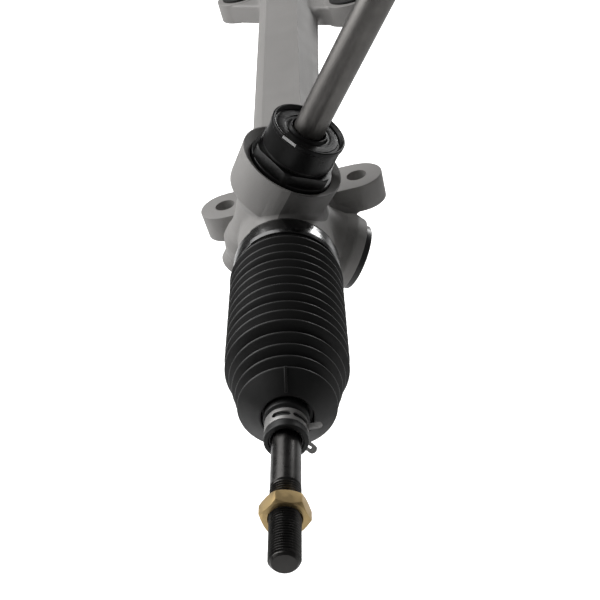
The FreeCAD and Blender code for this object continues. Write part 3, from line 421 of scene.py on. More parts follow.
# %% [markdown]
# ## Cast aluminium
# The casting is shot-blasted: warm grey and dull, with a fine grain and cloudy patches. The tower
# is much darker beyond its parting line, and that darkness is painted shade in its colour, for
# the half that turns from the light. A painted mask would need a UV map, so the mask is worked
# out from the place of each point round the pinion axis.

# %% The casting's finish
# The angle of the parting line round the tower, and how much painted shade darkens the far half
PARTING = 271.0
TOWER_PAINTED_SHADE = 0.55


def cast_finish():
    shader = Shader("cast_aluminium", {"Metallic": 0.15})
    clouds = shader.between(shader.noise(60.0, 4.0), 0.0, 1.0)
    specks = shader.between(shader.noise(2600.0, 2.0), 0.0, 1.0)
    shade = shader.blend(clouds, grey(0.236, 0.03), grey(0.256, 0.03))
    shade = shader.blend(specks * 0.25, shade, grey(0.17, 0.03))
    # Painted shade: the far half of the tower is blended towards black by this mask.
    shader.feed("Base Color", shader.blend(painted_shade_mask(shader) * TOWER_PAINTED_SHADE, shade, grey(0.0)))
    shader.feed("Roughness", shader.between(clouds, 0.58, 0.62))
    grain = shader.noise(1500.0, 5.0, 0.6)
    shader.bump(grain, 0.00012, 0.55)
    return shader.material


def painted_shade_mask(shader):
    """1 on the outside of the tower beyond the parting line, where painted shade darkens the colour."""
    away = shader.node("ShaderNodeVectorMath", {"operation": "SUBTRACT"},
                       [shader.place, tuple(pinion_point)])
    across = radial(pinion_place, 0, PARTING).to_3x3() @ Vector((0, -1, 0))
    side, along = [shader.node("ShaderNodeVectorMath", {"operation": "DOT_PRODUCT"},
                               [away, tuple(direction)], output="Value")
                   for direction in (across, pinion_axis)]
    arm = shader.node("ShaderNodeVectorMath", {"operation": "CROSS_PRODUCT"},
                      [away, tuple(pinion_axis)])
    reach = shader.node("ShaderNodeVectorMath", {"operation": "LENGTH"}, [arm], output="Value")
    outer = (reach - along * 0.065).math("GREATER_THAN", 0.0233) * reach.math(
        "LESS_THAN", 0.029)
    return side.math("GREATER_THAN", 0.0) * along.math("GREATER_THAN", 0.019) * outer


print("tower darkened by %.0f %%" % (TOWER_PAINTED_SHADE * 100))

# %% [markdown]
# ## Rubber and plastic
# The boot and the caps are near-black with a satin sheen. A darker colour alone would still
# mirror the lamps, so the specular level comes down as well.

# %% The rubbers and plastics
def rubber_finish(name, level, rough, shine=0.5):
    shader = Shader(name, {"Specular IOR Level": shine})
    clouds = shader.between(shader.noise(90.0, 3.0), 0.0, 1.0)
    shader.feed("Base Color", shader.blend(clouds, grey(level * 0.85), grey(level * 1.15)))
    shader.feed("Roughness", shader.between(shader.noise(160.0, 4.0), rough - 0.04,
                                            rough + 0.06))
    shader.bump(shader.noise(3200.0, 3.0), 0.00004, 0.5)
    return shader.material


print("rubber finish ready")

# %% [markdown]
# ## Steel
# The shaft and rods are dark oiled steel with marks from turning, and the nut has a yellow zinc
# coat. Real grooves would take far too many faces, so the marks are a bump pattern.

# %% The steels
def steel_finish(name, colour, rough, turning=0.0, axis=None, metallic=1.0):
    """Turning marks run round an axis, so their height depends only on the way along it."""
    shader = Shader(name, {"Metallic": metallic})
    clouds = shader.between(shader.noise(70.0, 4.0), 0.0, 1.0)
    low = tuple(value * 0.82 for value in colour[:3]) + (1.0,)
    shader.feed("Base Color", shader.blend(clouds, low, colour))
    wear = shader.between(shader.noise(340.0, 4.0), rough - 0.05, rough + 0.07)
    shader.feed("Roughness", wear)
    height = shader.noise(2400.0, 3.0)
    if axis is not None:
        along = shader.node("ShaderNodeVectorMath", {"operation": "DOT_PRODUCT"},
                            [shader.place, tuple(axis)], output="Value")
        marks = shader.node("ShaderNodeTexNoise", {"noise_dimensions": "1D"},
                            {"W": along, "Scale": 2600.0, "Detail": 2.0}, output="Fac")
        height = marks * turning + height * (1 - turning)
    shader.bump(height, 0.00003, 0.5)
    return shader.material


finishes = {
    "cast_aluminium": cast_finish(),
    "boot_rubber": rubber_finish("boot_rubber", 0.006, 0.46, shine=0.4),
    "seal_rubber": rubber_finish("seal_rubber", 0.014, 0.48),
    "black_plastic": rubber_finish("black_plastic", 0.009, 0.30, shine=0.15),
    "white_plastic": rubber_finish("white_plastic", 0.72, 0.4),
    "brown_plastic": rubber_finish("brown_plastic", 0.12, 0.4),
    "shaft_steel": steel_finish("shaft_steel", grey(0.16, 0.04), 0.42, 0.7, pinion_axis),
    "rod_steel": steel_finish("rod_steel", grey(0.055, 0.03), 0.30, 0.5, (1, 0, 0)),
    "dark_steel": steel_finish("dark_steel", grey(0.05), 0.4),
    "black_steel": rubber_finish("black_steel", 0.014, 0.36),
    "bright_steel": steel_finish("bright_steel", grey(0.55), 0.25, 0.6, (1, 0, 0)),
    "bearing_steel": steel_finish("bearing_steel", grey(0.6), 0.15),
    "zinc_steel": steel_finish("zinc_steel", grey(0.5, 0.01), 0.34),
    "clamp_steel": steel_finish("clamp_steel", grey(0.16, 0.02), 0.36),
    "yellow_zinc": steel_finish("yellow_zinc", (0.56, 0.41, 0.20, 1.0), 0.40),
    "bronze": steel_finish("bronze", (0.42, 0.27, 0.11, 1.0), 0.45),
}
# A painted highlight: the pale colour of the small slab on the cap's facet.
pale_mark = rubber_finish("pale_mark", 0.55, 0.4)
black_band = steel_finish("black_band", grey(0.10), 0.2)
clamp_grey = steel_finish("clamp_grey", grey(0.30, 0.02), 0.42, metallic=0.5)
slot_of = {item["node"]: item["material_slot"] for item in frame["record"]["subparts"]}
print("finishes:", len(finishes))

# %% [markdown]
# ## A finish for every part
# The parts inside the housing keep their CAD shape and only get their finish. A new piece gets
# the finish of its slot, hangs on the body it rides on and hides the CAD part it stands for.

# %% Finish every CAD part
def finish(piece, slot, body, *nodes, coat=None):
    """Give a new piece its finish and its body, and hide the CAD nodes that it stands for."""
    piece.data.materials.clear()
    piece.data.materials.append(coat or finishes[slot])
    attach(piece, body)
    if nodes:
        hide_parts(*nodes)
    return piece


for name, node in frame["nodes"].items():
    node.data.materials.clear()
    node.data.materials.append(finishes[slot_of[name]])
print("parts finished:", len(slot_of))

# %% [markdown]
# ## The casting
# The real casting has soft fillets wherever two forms meet, and crisp faces where a cutter has
# passed. So the rough forms are joined first and remeshed into one skin. Growing that skin and
# shrinking it back fills the inner corners with a round, and the machined faces and holes are
# then cut clean.

# %% Sizes of the casting
EAR_SPAN, EAR_LOBE, EAR_TOP = 73.2, 13.7, 15.0
EAR_HOLE = mount("ear_bolts")["dims"]["hole_r_mm"]
NEAR_FACE, FAR_FACE = 78.0, -458.0
RIGHT_EYE, LEFT_EYE = (-294.0, 52.0), (-365.0, -36.0)
EYE_LOBE, EYE_HOLE, BRACKET_HALF = 19.5, 15.0, 8.0
TOWER_TOP, TOWER_RADIUS = 41.6, 26.8
BOSS_RADIUS, BOSS_END, LUG_END = 20.0, 37.3, 40.2
LUG_ARC = (-33.0, 33.0)
VOXEL = 0.9
FILLET = 2.2
SKIN = 0.4


def prism(name, first, second, place):
    """A solid between two outlines of (Y, Z) corners at two stations along X."""
    (start, low), (end, high) = first, second
    deselect()
    bpy.ops.mesh.primitive_circle_add(vertices=len(low), fill_type="NGON")
    piece = bpy.context.object
    piece.name = name
    for vertex, (y, z) in zip(piece.data.vertices, low):
        vertex.co = Vector((start, y, z)) * MM
    bpy.ops.object.mode_set(mode="EDIT")
    bpy.ops.mesh.select_all(action="SELECT")
    bpy.ops.mesh.extrude_region_move()
    bpy.ops.object.mode_set(mode="OBJECT")
    far = [vertex for vertex in piece.data.vertices if vertex.select]
    for vertex, (y, z) in zip(far, high):
        vertex.co = Vector((end, y, z)) * MM
    bpy.ops.object.mode_set(mode="EDIT")
    bpy.ops.mesh.select_all(action="SELECT")
    bpy.ops.mesh.normals_make_consistent(inside=False)
    bpy.ops.object.mode_set(mode="OBJECT")
    return settle(piece, place)


def tube(less):
    """The round tube with its two flats; less makes it thinner than the real one."""
    body = rod("tube", 20 - less, FAR_FACE + 16, -4, rack_place, 160)
    return combine(body, slab("flats", (900, 60, 34 - less * 2), rack_place, (-200, 0, 0)),
                   "INTERSECT")


def flank_prism(less, low, high, low_reach, high_reach):
    """The web that runs out of the tube's side towards the bracket."""
    ends = []
    for along, reach in ((low, low_reach - less), (high, high_reach - less)):
        flat = 17 - less
        ends.append((along, [(0, flat), (13.5, flat), (reach, 1), (reach, -1), (13.5, -flat),
                             (0, -flat)]))
    return prism("flank", ends[0], ends[1], rack_place)


def upright(x, y, base=Matrix.Identity(4)):
    """A place whose X points up from a spot of the base."""
    stand = Matrix.Rotation(-math.pi / 2, 4, "Y")
    return base @ Matrix.Translation(Vector((x, y, 0)) * MM) @ stand


def plate(name, first, second, radius, low, high, place):
    """A flat bar with round ends between two (X, Y) points."""
    here, there = Vector(first), Vector(second)
    run = there - here
    turn = Matrix.Rotation(math.atan2(run.y, run.x), 4, "Z")
    middle = (here + there) / 2
    web = slab(name, (run.length, radius * 2, high - low),
               place @ Matrix.Translation(Vector((middle.x, middle.y, 0)) * MM) @ turn,
               (0, 0, (low + high) / 2))
    ends = [rod(name, radius, low, high, upright(spot.x, spot.y, place), 64)
            for spot in (here, there)]
    return [web] + ends


print("casting runs from %.0f to %.0f mm" % (FAR_FACE, NEAR_FACE))

# %% [markdown]
# ## The rough forms and the skin
# The rough forms stay a little smaller than the real ones, so that the crisp forms cover them
# and only the fillets show. Sculpting could blend them too, but a voxel remesh with a Displace
# out and back gives the same round in every corner.

# %% The rough forms
def rough_forms():
    ear_y = EAR_SPAN / 2
    forms = [tube(SKIN), flank_prism(SKIN, RIGHT_EYE[0], -70, 26, 20.5),
             flank_prism(SKIN, LEFT_EYE[0], RIGHT_EYE[0], 20.5, 26)]
    forms += plate("ears", (0, -ear_y), (0, ear_y), EAR_LOBE - 0.7, 0.0, EAR_TOP - SKIN,
                   Matrix.Identity(4))
    forms += plate("bracket", RIGHT_EYE, LEFT_EYE, EYE_LOBE - SKIN, SKIN - BRACKET_HALF,
                   BRACKET_HALF - SKIN, rack_place)
    forms += [
        rod("barrel", 24.5, -4, 62, rack_place),
        rod("near_spigot", 22.0, -4, NEAR_FACE, rack_place),
        rod("far_spigot", 22.0, FAR_FACE, FAR_FACE + 30, rack_place),
        rod("far_collar", 23.0, FAR_FACE + 16, FAR_FACE + 30, rack_place),
        rod("tower", 25.3, 20, TOWER_TOP, pinion_place, tip=TOWER_RADIUS - SKIN),
        rod("tower_root", 17.6, 12, 20, pinion_place, tip=24.9),
        rod("tower_neck", 14.8, 0, 12, pinion_place, tip=17.6),
        rod("tower_foot", 14.2, -17, 0, pinion_place),
        rod("tower_toe", 10.2, -31, -15, pinion_place),
        rod("yoke_boss", BOSS_RADIUS - SKIN, 0, BOSS_END - SKIN, yoke_place),
        rod("yoke_root", 23.0, 0, 25, yoke_place, tip=18.5),
    ]
    return forms


def remesh(piece, size):
    modify(piece, "REMESH", mode="VOXEL", voxel_size=size * MM, use_smooth_shade=True)


def make_skin():
    skin = join("casting", rough_forms())
    remesh(skin, VOXEL)
    modify(skin, "DISPLACE", strength=FILLET * MM, mid_level=0.0)
    remesh(skin, VOXEL)
    modify(skin, "SMOOTH", factor=0.5, iterations=2)
    modify(skin, "DISPLACE", strength=-FILLET * MM, mid_level=0.0)
    remesh(skin, VOXEL)
    modify(skin, "SMOOTH", factor=0.5, iterations=5)
    print("casting skin:", len(skin.data.polygons), "faces")
    return skin


casting = make_skin()

# %% [markdown]
# ## The crisp forms
# Remeshing softens every edge, also those that are sharp on the real casting. So the tower, the
# boss, the ears, the eyes and the tube are joined onto the skin once more as clean solids.

# %% The crisp forms
def crisp_ear(y):
    return lathe("ear", [(0, 0), (0, 13.2, 0.3), (EAR_TOP, EAR_LOBE, 0.5), (EAR_TOP, 0)],
                 upright(0, y), 96)


def tower_half(side):
    """The two halves of the die meet in a faint ridge, so each half has its own centre."""
    spot = radial(pinion_place, 0, PARTING)
    moved = Matrix.Translation(spot.to_3x3() @ Vector((0, -0.8 * side * MM, 0)))
    half = lathe("tower_half", [
        (-31.8, 0), (-31.8, 9.8, 0.8), (-30.5, 11.2, 1.0), (-26, 11.2, 1.0), (-24, 10.9, 1.0),
        (-21.5, 12.6, 1.0), (-16, 15.5, 2.0), (-11, 15.5, 3.0), (-6, 14.8, 3.0),
        (0, 15.5, 4.0), (12, 18.2, 1.5), (20, 25.9, 2.0), (TOWER_TOP, TOWER_RADIUS + 0.4, 0.25),
        (TOWER_TOP, 0)], moved @ pinion_place, 160)
    return combine(half, slab("side", (100, 60, 120), spot, (20, side * 29.95, 0)), "INTERSECT")


def lug():
    """A short arc that stands up from the rim of the boss."""
    rim = ring("lug", 17.6, BOSS_RADIUS, 36, LUG_END, yoke_place)
    corners = [(0, 0)] + [(30 * math.cos(math.radians(angle)), 30 * math.sin(math.radians(angle)))
                          for angle in LUG_ARC]
    return combine(rim, prism("wedge", (30, corners), (50, corners), yoke_place), "INTERSECT")


def crisp_forms():
    ear_y = EAR_SPAN / 2
    low, high = [[(-ear_y, -half), (ear_y, -half), (ear_y, half), (-ear_y, half)]
                 for half in (13.2, EAR_LOBE)]
    forms = [crisp_ear(ear_y), crisp_ear(-ear_y), tower_half(1), tower_half(-1), lug(),
             prism("ear_web", (0.05, low), (EAR_TOP - 0.05, high), upright(0, 0)),
             lathe("boss", [(22, 0), (22, 18.6), (26, 19.3, 3.0), (31.5, 21.3, 4.0),
                            (BOSS_END, BOSS_RADIUS, 0.35), (BOSS_END, 0)], yoke_place),
             tube(0.0), flank_prism(0.0, RIGHT_EYE[0], -70, 26, 20.5),
             flank_prism(0.0, LEFT_EYE[0], RIGHT_EYE[0], 20.5, 26),
             lathe("barrel_end", [(48, 0), (48, 24.0), (50, 24.5, 0.5), (62, 24.5, 0.6), (62, 0)],
                   rack_place)]
    for x, y in (RIGHT_EYE, LEFT_EYE):
        forms.append(lathe("eye", [(-BRACKET_HALF, 0), (-BRACKET_HALF, EYE_LOBE, 0.6),
                                   (BRACKET_HALF, EYE_LOBE, 0.6), (BRACKET_HALF, 0)],
                           upright(x, y, rack_place)))
    return forms


for form in crisp_forms():
    combine(casting, form, "UNION")
print("with its crisp forms:", len(casting.data.polygons), "faces")

# %% [markdown]
# ## Machined faces and holes
# The real cutters pass last, and so do these: each bore, face and recess is a closed tool that
# a boolean takes away. Extruding holes into the remeshed skin would leave ragged rims.

# %% Machined faces and holes
def cutters():
    ear_y = EAR_SPAN / 2
    tools = [
        rod("rack_bore", 13.3, FAR_FACE - 5, NEAR_FACE + 5, rack_place),
        rod("guide_bore", 15.0, FAR_FACE - 5, FAR_FACE + 23.6, rack_place),
        rod("near_end", 40, NEAR_FACE, NEAR_FACE + 10, rack_place),
        rod("far_end", 40, FAR_FACE - 10, FAR_FACE, rack_place),
        ring("near_land", 22.0, 40, 62.0, NEAR_FACE + 5, rack_place),
        ring("far_land", 22.0, 40, FAR_FACE - 5, FAR_FACE + 16, rack_place),
        rod("ear_hole", EAR_HOLE, -10, 30, upright(0, ear_y), 64),
        rod("ear_hole", EAR_HOLE, -10, 30, upright(0, -ear_y), 64),
        lathe("tower_recess", [(26, 0), (26, 17.9), (35.6, 17.9), (35.6, 22.0), (38.9, 22.0),
                               (41.6, 25.9), (44, 29.4), (44, 0)], pinion_place, 160),
        rod("bearing_room", 17.5, 16, 27, pinion_place),
        rod("gear_room", 10.4, -13, 17, pinion_place),
        rod("yoke_room", 14.5, 0, 60, yoke_place),
    ]
    for x, y in (RIGHT_EYE, LEFT_EYE):
        tools.append(rod("eye_hole", EYE_HOLE, -20, 20, upright(x, y, rack_place)))
    return tools


for tool in cutters():
    combine(casting, tool, "DIFFERENCE")
smooth(casting, 30)
finish(casting, "cast_aluminium", "housing", "rack_housing")
print("casting:", len(casting.data.polygons), "faces")

# %% [markdown]
# ## The rubber boots
# Each boot is one moulded skin with fifteen folds. Displacing a tube could show folds, but
# turning the outline of the skin gives its thin wall and round crests. The rack pushes and
# pulls it and the tie rod bends its outer end, so the skin is made in short lengths that meet
# in the valleys between folds.

# %% The folds of a boot
CRESTS = [(-67.84 + 6.84 * fold, 27.3) for fold in range(11)]
CRESTS += [(6.6, 25.3), (12.7, 23.8), (18.8, 22.3), (24.9, 20.8)]
FOLD_DEPTH = 5.8
RUBBER = 1.1
# The cone ends in a lip, with a gutter between the lip and the neck
END_CONE = [(31.3, 11.6, 0.6), (31.4, 10.8, 0.25), (28.9, 10.5, 0.4), (28.9, 8.2)]
END_CONE_INSIDE = [(27.8, 8.2), (27.7, 14.9, 0.5)]


def fold_line():
    """The outer line of a boot as (along, radius, fillet), from its collar to its end cone."""
    points = [(-76.0, 23.6), (-71.3, 23.4, 0.8)]
    for number, (along, radius) in enumerate(CRESTS):
        if number:
            middle = (CRESTS[number - 1][0] + along) / 2
            points.append((middle, radius - FOLD_DEPTH, 0.8))
        points.append((along, radius + 0.7, 0.75))
    return points


def bellows(name, first, last, place, sleeve=0.0):
    """One length of a boot. A sleeve is a hidden part that goes on inside the length before."""
    outer = [point for point in fold_line() if first - 0.2 < point[0] < last + 0.2]
    inner = [(along, radius - RUBBER * (1.5 if fillet and fillet[0] == 0.75 else 1.0))
             for along, radius, *fillet in reversed(outer)]
    outer[0] = outer[0][:2]
    if last > CRESTS[-1][0]:
        outer, inner = outer + END_CONE, END_CONE_INSIDE + inner
    else:
        outer[-1] = outer[-1][:2]
    if sleeve:
        along, radius = outer[0]
        outer.insert(0, (along - sleeve, radius - 0.3))
        inner.append((along - sleeve, radius - RUBBER - 0.3))
    return lathe(name, outer + inner, place, 144)


print("folds:", len(CRESTS))

# %% [markdown]
# ## A boot in lengths
# The collar stays on the housing and the neck rides on the tie rod. The folds between them are
# made as separate lengths. A ridge from the mould runs down the top of the end cone.

# %% The boots and their lengths
# Along the boot, (start, end) of a length and the part of the rack's travel that its ends follow
PULLED = [((-76.0, -50.74), (0.12, 0.326)), ((-50.74, -16.54), (0.326, 0.674)),
          ((-16.54, 3.58), (0.674, 0.88))]
BENT = [((3.58, 15.75), "rack", "seat"), ((15.75, 28.6), "seat", "rod")]
RIB_ANGLE, RIB_RISE = 78.0, 1.6


def cone_rib(place):
    """The low ridge down the end cone."""
    low, high = Vector((31.5, 0, 11.1 + RIB_RISE)), Vector((25.5, 0, 19.9 + RIB_RISE))
    run = high - low
    lean = Matrix.Rotation(-math.atan2(run.z, run.x), 4, "Y")
    stand = radial(place, 0, RIB_ANGLE) @ Matrix.Translation((low + high) / 2 * MM) @ lean
    rib = slab("rib", (run.length, 1.2, 2.0), stand)
    return modify(rib, "BEVEL", width=0.3 * MM, segments=3)


def make_boot(side, place, rod_place):
    collar = lathe(side + "_boot_collar", [
        (-88, 22.05, 0.3), (-73.5, 22.05), (-73.5, 24.9, 0.7), (-74.6, 25.2, 0.3),
        (-87.6, 25.2, 0.3), (-88, 24.9, 0.4)], place)
    finish(collar, "boot_rubber", "housing", side + "_boot")
    for number, ((first, last), (low, high)) in enumerate(PULLED):
        length = (last - first) / (high - low)
        start = first - low * length
        piece = bellows("%s_boot_fold_%d" % (side, number), first, last, place)
        finish_bent(piece, "boot_rubber", place, start, start + length)
    for (first, last), inner, outer in BENT:
        piece = bellows("%s_boot_end_%s" % (side, outer), first, last, place,
                        3.0 if inner == "rack" else 0.0)
        if outer == "rod":
            piece = join(piece.name, [piece, cone_rib(place)])
        finish_bent(piece, "boot_rubber", place, first, last)
    neck = lathe(side + "_boot_neck", [
        (28.0, 6.3), (45.6, 6.3), (45.6, 7.0, 0.2), (46.4, 7.1, 0.3), (46.4, 9.0, 0.6),
        (42.5, 9.0, 0.4), (42.4, 8.0), (34.2, 8.0, 0.4), (33.4, 9.4, 0.6), (28.6, 9.5),
        (28.0, 9.5)],
        rod_place)
    finish(neck, "boot_rubber", side + "_rod", side + "_boot")


def finish_bent(piece, slot, place, start, end):
    """Smooth a soft piece, give it the finish of its slot and hide the CAD boot; the two ends worked out from
    start, end and place are not used.
    """
    smooth(piece)
    piece.data.materials.clear()
    piece.data.materials.append(finishes[slot])
    ends = [place @ Vector((along * MM, 0, 0)) for along in (start, end)]
    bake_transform(piece)
    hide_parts(piece.name.split("_")[0] + "_boot")


make_boot("near", near_place, near_rod_place)
make_boot("far", far_place, far_rod_place)
print("boots done")

# %% [markdown]
# ## The large clamps
# A wide crowned band holds the boot on the housing. Its strap laps over itself for part of the
# way round and is drawn tight by an ear below. The crown is in the lathe's outline, because a
# flat band would not catch the light in one short streak.

# %% The large clamps
# Where the upper layer of the strap ends, and how far round it reaches
STRAP_END, STRAP_LAP = 117.0, 130.0


def strap(name, lift, first, last, place):
    """A length of the crowned strap from one angle to another, lifted by one thickness."""
    band = lathe(name, [
        (-87.0, 25.0 + lift), (-73.8, 25.0 + lift), (-73.8, 25.6 + lift, 0.2),
        (-76.2, 26.05 + lift, 1.5), (-80.4, 26.2 + lift, 3.0), (-84.8, 26.05 + lift, 1.5),
        (-87.0, 25.6 + lift, 0.2)], place, 180)
    if last - first < 360:
        middle, half = (first + last) / 2, math.radians(last - first) / 2
        reach = 60 * math.tan(half)
        corners = [(0, 0), (reach, 60), (-reach, 60)]
        wedge = prism("wedge", (-95, corners), (-65, corners), radial(place, 0, middle))
        combine(band, wedge, "INTERSECT")
    return band


def make_large_clamp(side, place):
    band = strap(side + "_band", 0.0, 0, 360, place)
    over = strap(side + "_over", 0.5, STRAP_END - STRAP_LAP, STRAP_END, place)
    spot = radial(place, -80.4, 270)
    ear = slab("ear", (7.9, 9.0, 5.4), spot, (0, 0, 28.4))
    combine(ear, slab("gap", (12, 6.6, 3.2), spot, (0, 0, 28.4)), "DIFFERENCE")
    modify(ear, "BEVEL", width=0.7 * MM, segments=3, limit_method="ANGLE")
    clamp = smooth(join(side + "_clamp_large", [band, over, ear]), 35)
    finish(clamp, "clamp_steel", "housing", side + "_large_clamp", coat=black_band)


make_large_clamp("near", near_place)
make_large_clamp("far", far_place)
print("large clamps done")

# %% [markdown]
# ## The small clamps
# A narrow slotted band of grey spring steel holds the boot's neck on the tie rod. Its two ends
# stand out on one side, and the lower one is twisted and has a window. The slots are cut by
# bars with round ends, as a punch cuts them.

# %% The small clamps
BAND_MIDDLE = 38.9
SLOT_ANGLES = (90.0, 32.5, 180.0, 240.0)
TAB_ANGLE, WINDOW_TAB_ANGLE, WINDOW_TAB_TWIST = -3.0, -58.0, 65.0


def small_tab(place, angle, window):
    """One turned-up end of the small clamp, with a round tip."""
    stand = radial(place, BAND_MIDDLE, angle) @ Matrix.Rotation(math.pi / 2, 4, "X")
    tip, radius = 13.0, 1.5
    if window:
        tip, radius = 14.4, 1.9
        stand = stand @ Matrix.Rotation(math.radians(WINDOW_TAB_TWIST), 4, "Y")
    whole, *ends = plate("tab", (0, 8.4), (0, tip), radius, -0.4, 0.4, stand)
    for end in ends:
        combine(whole, end, "UNION")
    if window:
        for tool in plate("window", (0, 11.6), (0, 13.6), 0.45, -2, 2, stand):
            combine(whole, tool, "DIFFERENCE")
    return modify(whole, "BEVEL", width=0.15 * MM, segments=2, limit_method="ANGLE")


def make_small_clamp(side, place):
    band = ring(side + "_neck_band", 8.1, 8.9, 35.6, 42.2, place, 0.2)
    for angle in SLOT_ANGLES:
        for tool in plate("slot", (0, -2.5), (0, 2.5), 1.35, 6.0, 13.0,
                          radial(place, BAND_MIDDLE, angle)):
            combine(band, tool, "DIFFERENCE")
    tabs = [small_tab(place, TAB_ANGLE, False), small_tab(place, WINDOW_TAB_ANGLE, True)]
    clamp = smooth(join(side + "_clamp_small", [band] + tabs), 35)
    finish(clamp, "clamp_steel", side + "_rod", side + "_small_clamp", coat=clamp_grey)


make_small_clamp("near", near_rod_place)
make_small_clamp("far", far_rod_place)
print("small clamps done")

# %% [markdown]
# ## The thread
# The thread is a real helix. Stacked rings would look the same from afar, but not at the tip.
# One pitch of its outline is swept by the Screw modifier, and then each point is held inside an
# envelope that gives the chamfer at the tip and the run-out.

# %% The thread of a rod
PITCH, THREAD_START, ROD_END = 1.25, 72.6, 109.5
CREST, ROOT, TIP = 6.0, 5.3, 4.5


def make_thread(name, place):
    turns = math.ceil((ROD_END - THREAD_START) / PITCH)
    outline = [(0, ROOT), (0.12, ROOT), (0.56, CREST), (0.69, CREST), (1.13, ROOT),
               (PITCH, ROOT)]
    deselect()
    bpy.ops.mesh.primitive_grid_add(x_subdivisions=len(outline) - 1, y_subdivisions=1)
    thread = bpy.context.object
    thread.name = name
    keep = sorted(thread.data.vertices, key=lambda vertex: (vertex.co.y, vertex.co.x))
    for vertex, (along, radius) in zip(keep, outline):
        vertex.co = (along * MM, 0, radius * MM)
        vertex.select = False
    for vertex in keep[len(outline):]:
        vertex.select = True
    for polygon in thread.data.polygons:
        polygon.select = False
    for edge in thread.data.edges:
        edge.select = False
    bpy.ops.object.mode_set(mode="EDIT")
    bpy.ops.mesh.select_mode(type="VERT")
    bpy.ops.mesh.delete(type="VERT")
    bpy.ops.object.mode_set(mode="OBJECT")
    modify(thread, "SCREW", axis="X", angle=math.tau, screw_offset=PITCH * MM,
           iterations=turns, steps=64, render_steps=64, use_merge_vertices=True,
           merge_threshold=1e-6, use_normal_calculate=True)
    for vertex in thread.data.vertices:
        along = vertex.co.x / MM + THREAD_START - PITCH / 2
        radius = math.hypot(vertex.co.y, vertex.co.z) / MM
        limit = min(CREST, TIP + (ROD_END - along) * 0.9, ROOT + max(along - THREAD_START, 0))
        scale = min(radius, max(limit, TIP)) / radius
        vertex.co = (min(along, ROD_END - 0.05) * MM, vertex.co.y * scale,
                     vertex.co.z * scale)
    return settle(thread, place)


print("thread of %.1f mm" % (ROD_END - THREAD_START))

# %% [markdown]
# ## Tie rods and lock nuts
# A rod is turned with a ball at its inner end, and its thread is laid round it. The nut is a
# hexagon whose corners are cut by a turned dome, as on a real nut, where a Bevel alone would
# round all edges alike.

# %% Tie rods and lock nuts
NUT_START, NUT_END, NUT_FLATS, NUT_TURN = 81.7, 88.2, 17.0, -23


def make_rod(side, place):
    thread = smooth(make_thread(side + "_thread", place), 50)
    core = smooth(lathe(side + "_shank", [
        (12, 0), (12, 5.2), (17, 5.2, 1.0), (20, 5.93, 1.0), (72.2, 5.93, 0.3),
        (72.9, 5.25, 0.1), (108.7, 5.25), (ROD_END - 0.02, 4.6, 0.3), (ROD_END, 0)], place))
    whole = join(side + "_rod_bar", [core, thread])
    ball = smooth(lathe(side + "_ball", half_circle(10.0), place, 96))
    finish(whole, "rod_steel", side + "_rod", side + "_tie_rod")
    finish(ball, "bearing_steel", side + "_rod", side + "_tie_rod")


def half_circle(radius, steps=32):
    return [(-radius * math.cos(math.pi * step / steps),
             radius * math.sin(math.pi * step / steps)) for step in range(steps + 1)]


def hexagon(name, flats, start, end, place, turn):
    spin = Matrix.Rotation(math.radians(turn), 4, "X")
    return rod(name, flats / math.sqrt(3), start, end, place @ spin, 6)


def make_nut(side, place):
    """The chamfered nut; drop is how far its corners fall away at each end."""
    start, end, flats, drop = NUT_START, NUT_END, NUT_FLATS, 1.25
    corner = flats / math.sqrt(3)
    nut = hexagon(side + "_nut", flats, start, end, place, NUT_TURN)
    dome = lathe("dome", [(start, 0), (start, flats / 2 - 0.1), (start + drop, corner + 0.1),
                          (end - drop, corner + 0.1), (end, flats / 2 - 0.1), (end, 0)], place)
    combine(nut, dome, "INTERSECT")
    combine(nut, rod("bore", 5.5, start - 1, end + 1, place, 64), "DIFFERENCE")
    for low, high, near, far in ((start - 1, start + 1.0, 7.7, 5.4),
                                 (end - 1.0, end + 1, 5.4, 7.7)):
        combine(nut, rod("sink", near, low, high, place, 64, tip=far), "DIFFERENCE")
    modify(nut, "BEVEL", width=0.22 * MM, segments=3, limit_method="ANGLE",
           angle_limit=math.radians(25))
    finish(smooth(nut, 30), "yellow_zinc", side + "_rod", side + "_lock_nut")


for side, place in (("near", near_rod_place), ("far", far_rod_place)):
    make_rod(side, place)
    make_nut(side, place)
print("rods and nuts done")

# %% [markdown]
# ## The lock ring
# A hexagon ring locks the bearing plug in the recess of the tower. It is a nut with a flange,
# so the hexagon and a turned flange are joined.

# %% The lock ring
def make_lock_ring():
    flange = lathe("flange", [(35.8, 17.85), (41.0, 17.85), (41.0, 21.5, 0.5),
                              (35.8, 21.5, 0.5)], pinion_place)
    nut = hexagon("lock_hexagon", 38.4, 36.8, 46.4, pinion_place, 20)
    dome = lathe("dome", [(36, 0), (36, 21.6), (45.8, 21.6), (46.4, 20.8), (46.4, 0)],
                 pinion_place)
    combine(nut, dome, "INTERSECT")
    combine(nut, rod("bore", 17.85, 30, 50, pinion_place), "DIFFERENCE")
    modify(nut, "BEVEL", width=0.3 * MM, segments=3, limit_method="ANGLE",
           angle_limit=math.radians(35))
    whole = smooth(join("lock_ring", [flange, nut]), 35)
    finish(whole, "dark_steel", "housing", "plug_lock_ring")


make_lock_ring()
print("lock ring done")

# %% [markdown]
# ## The caps
# A moulded cap with a raised rim covers the shaft's seal, and a flat black cap closes the boss
# of the yoke. Both are turned, so that rim and rings are real steps that shade themselves.

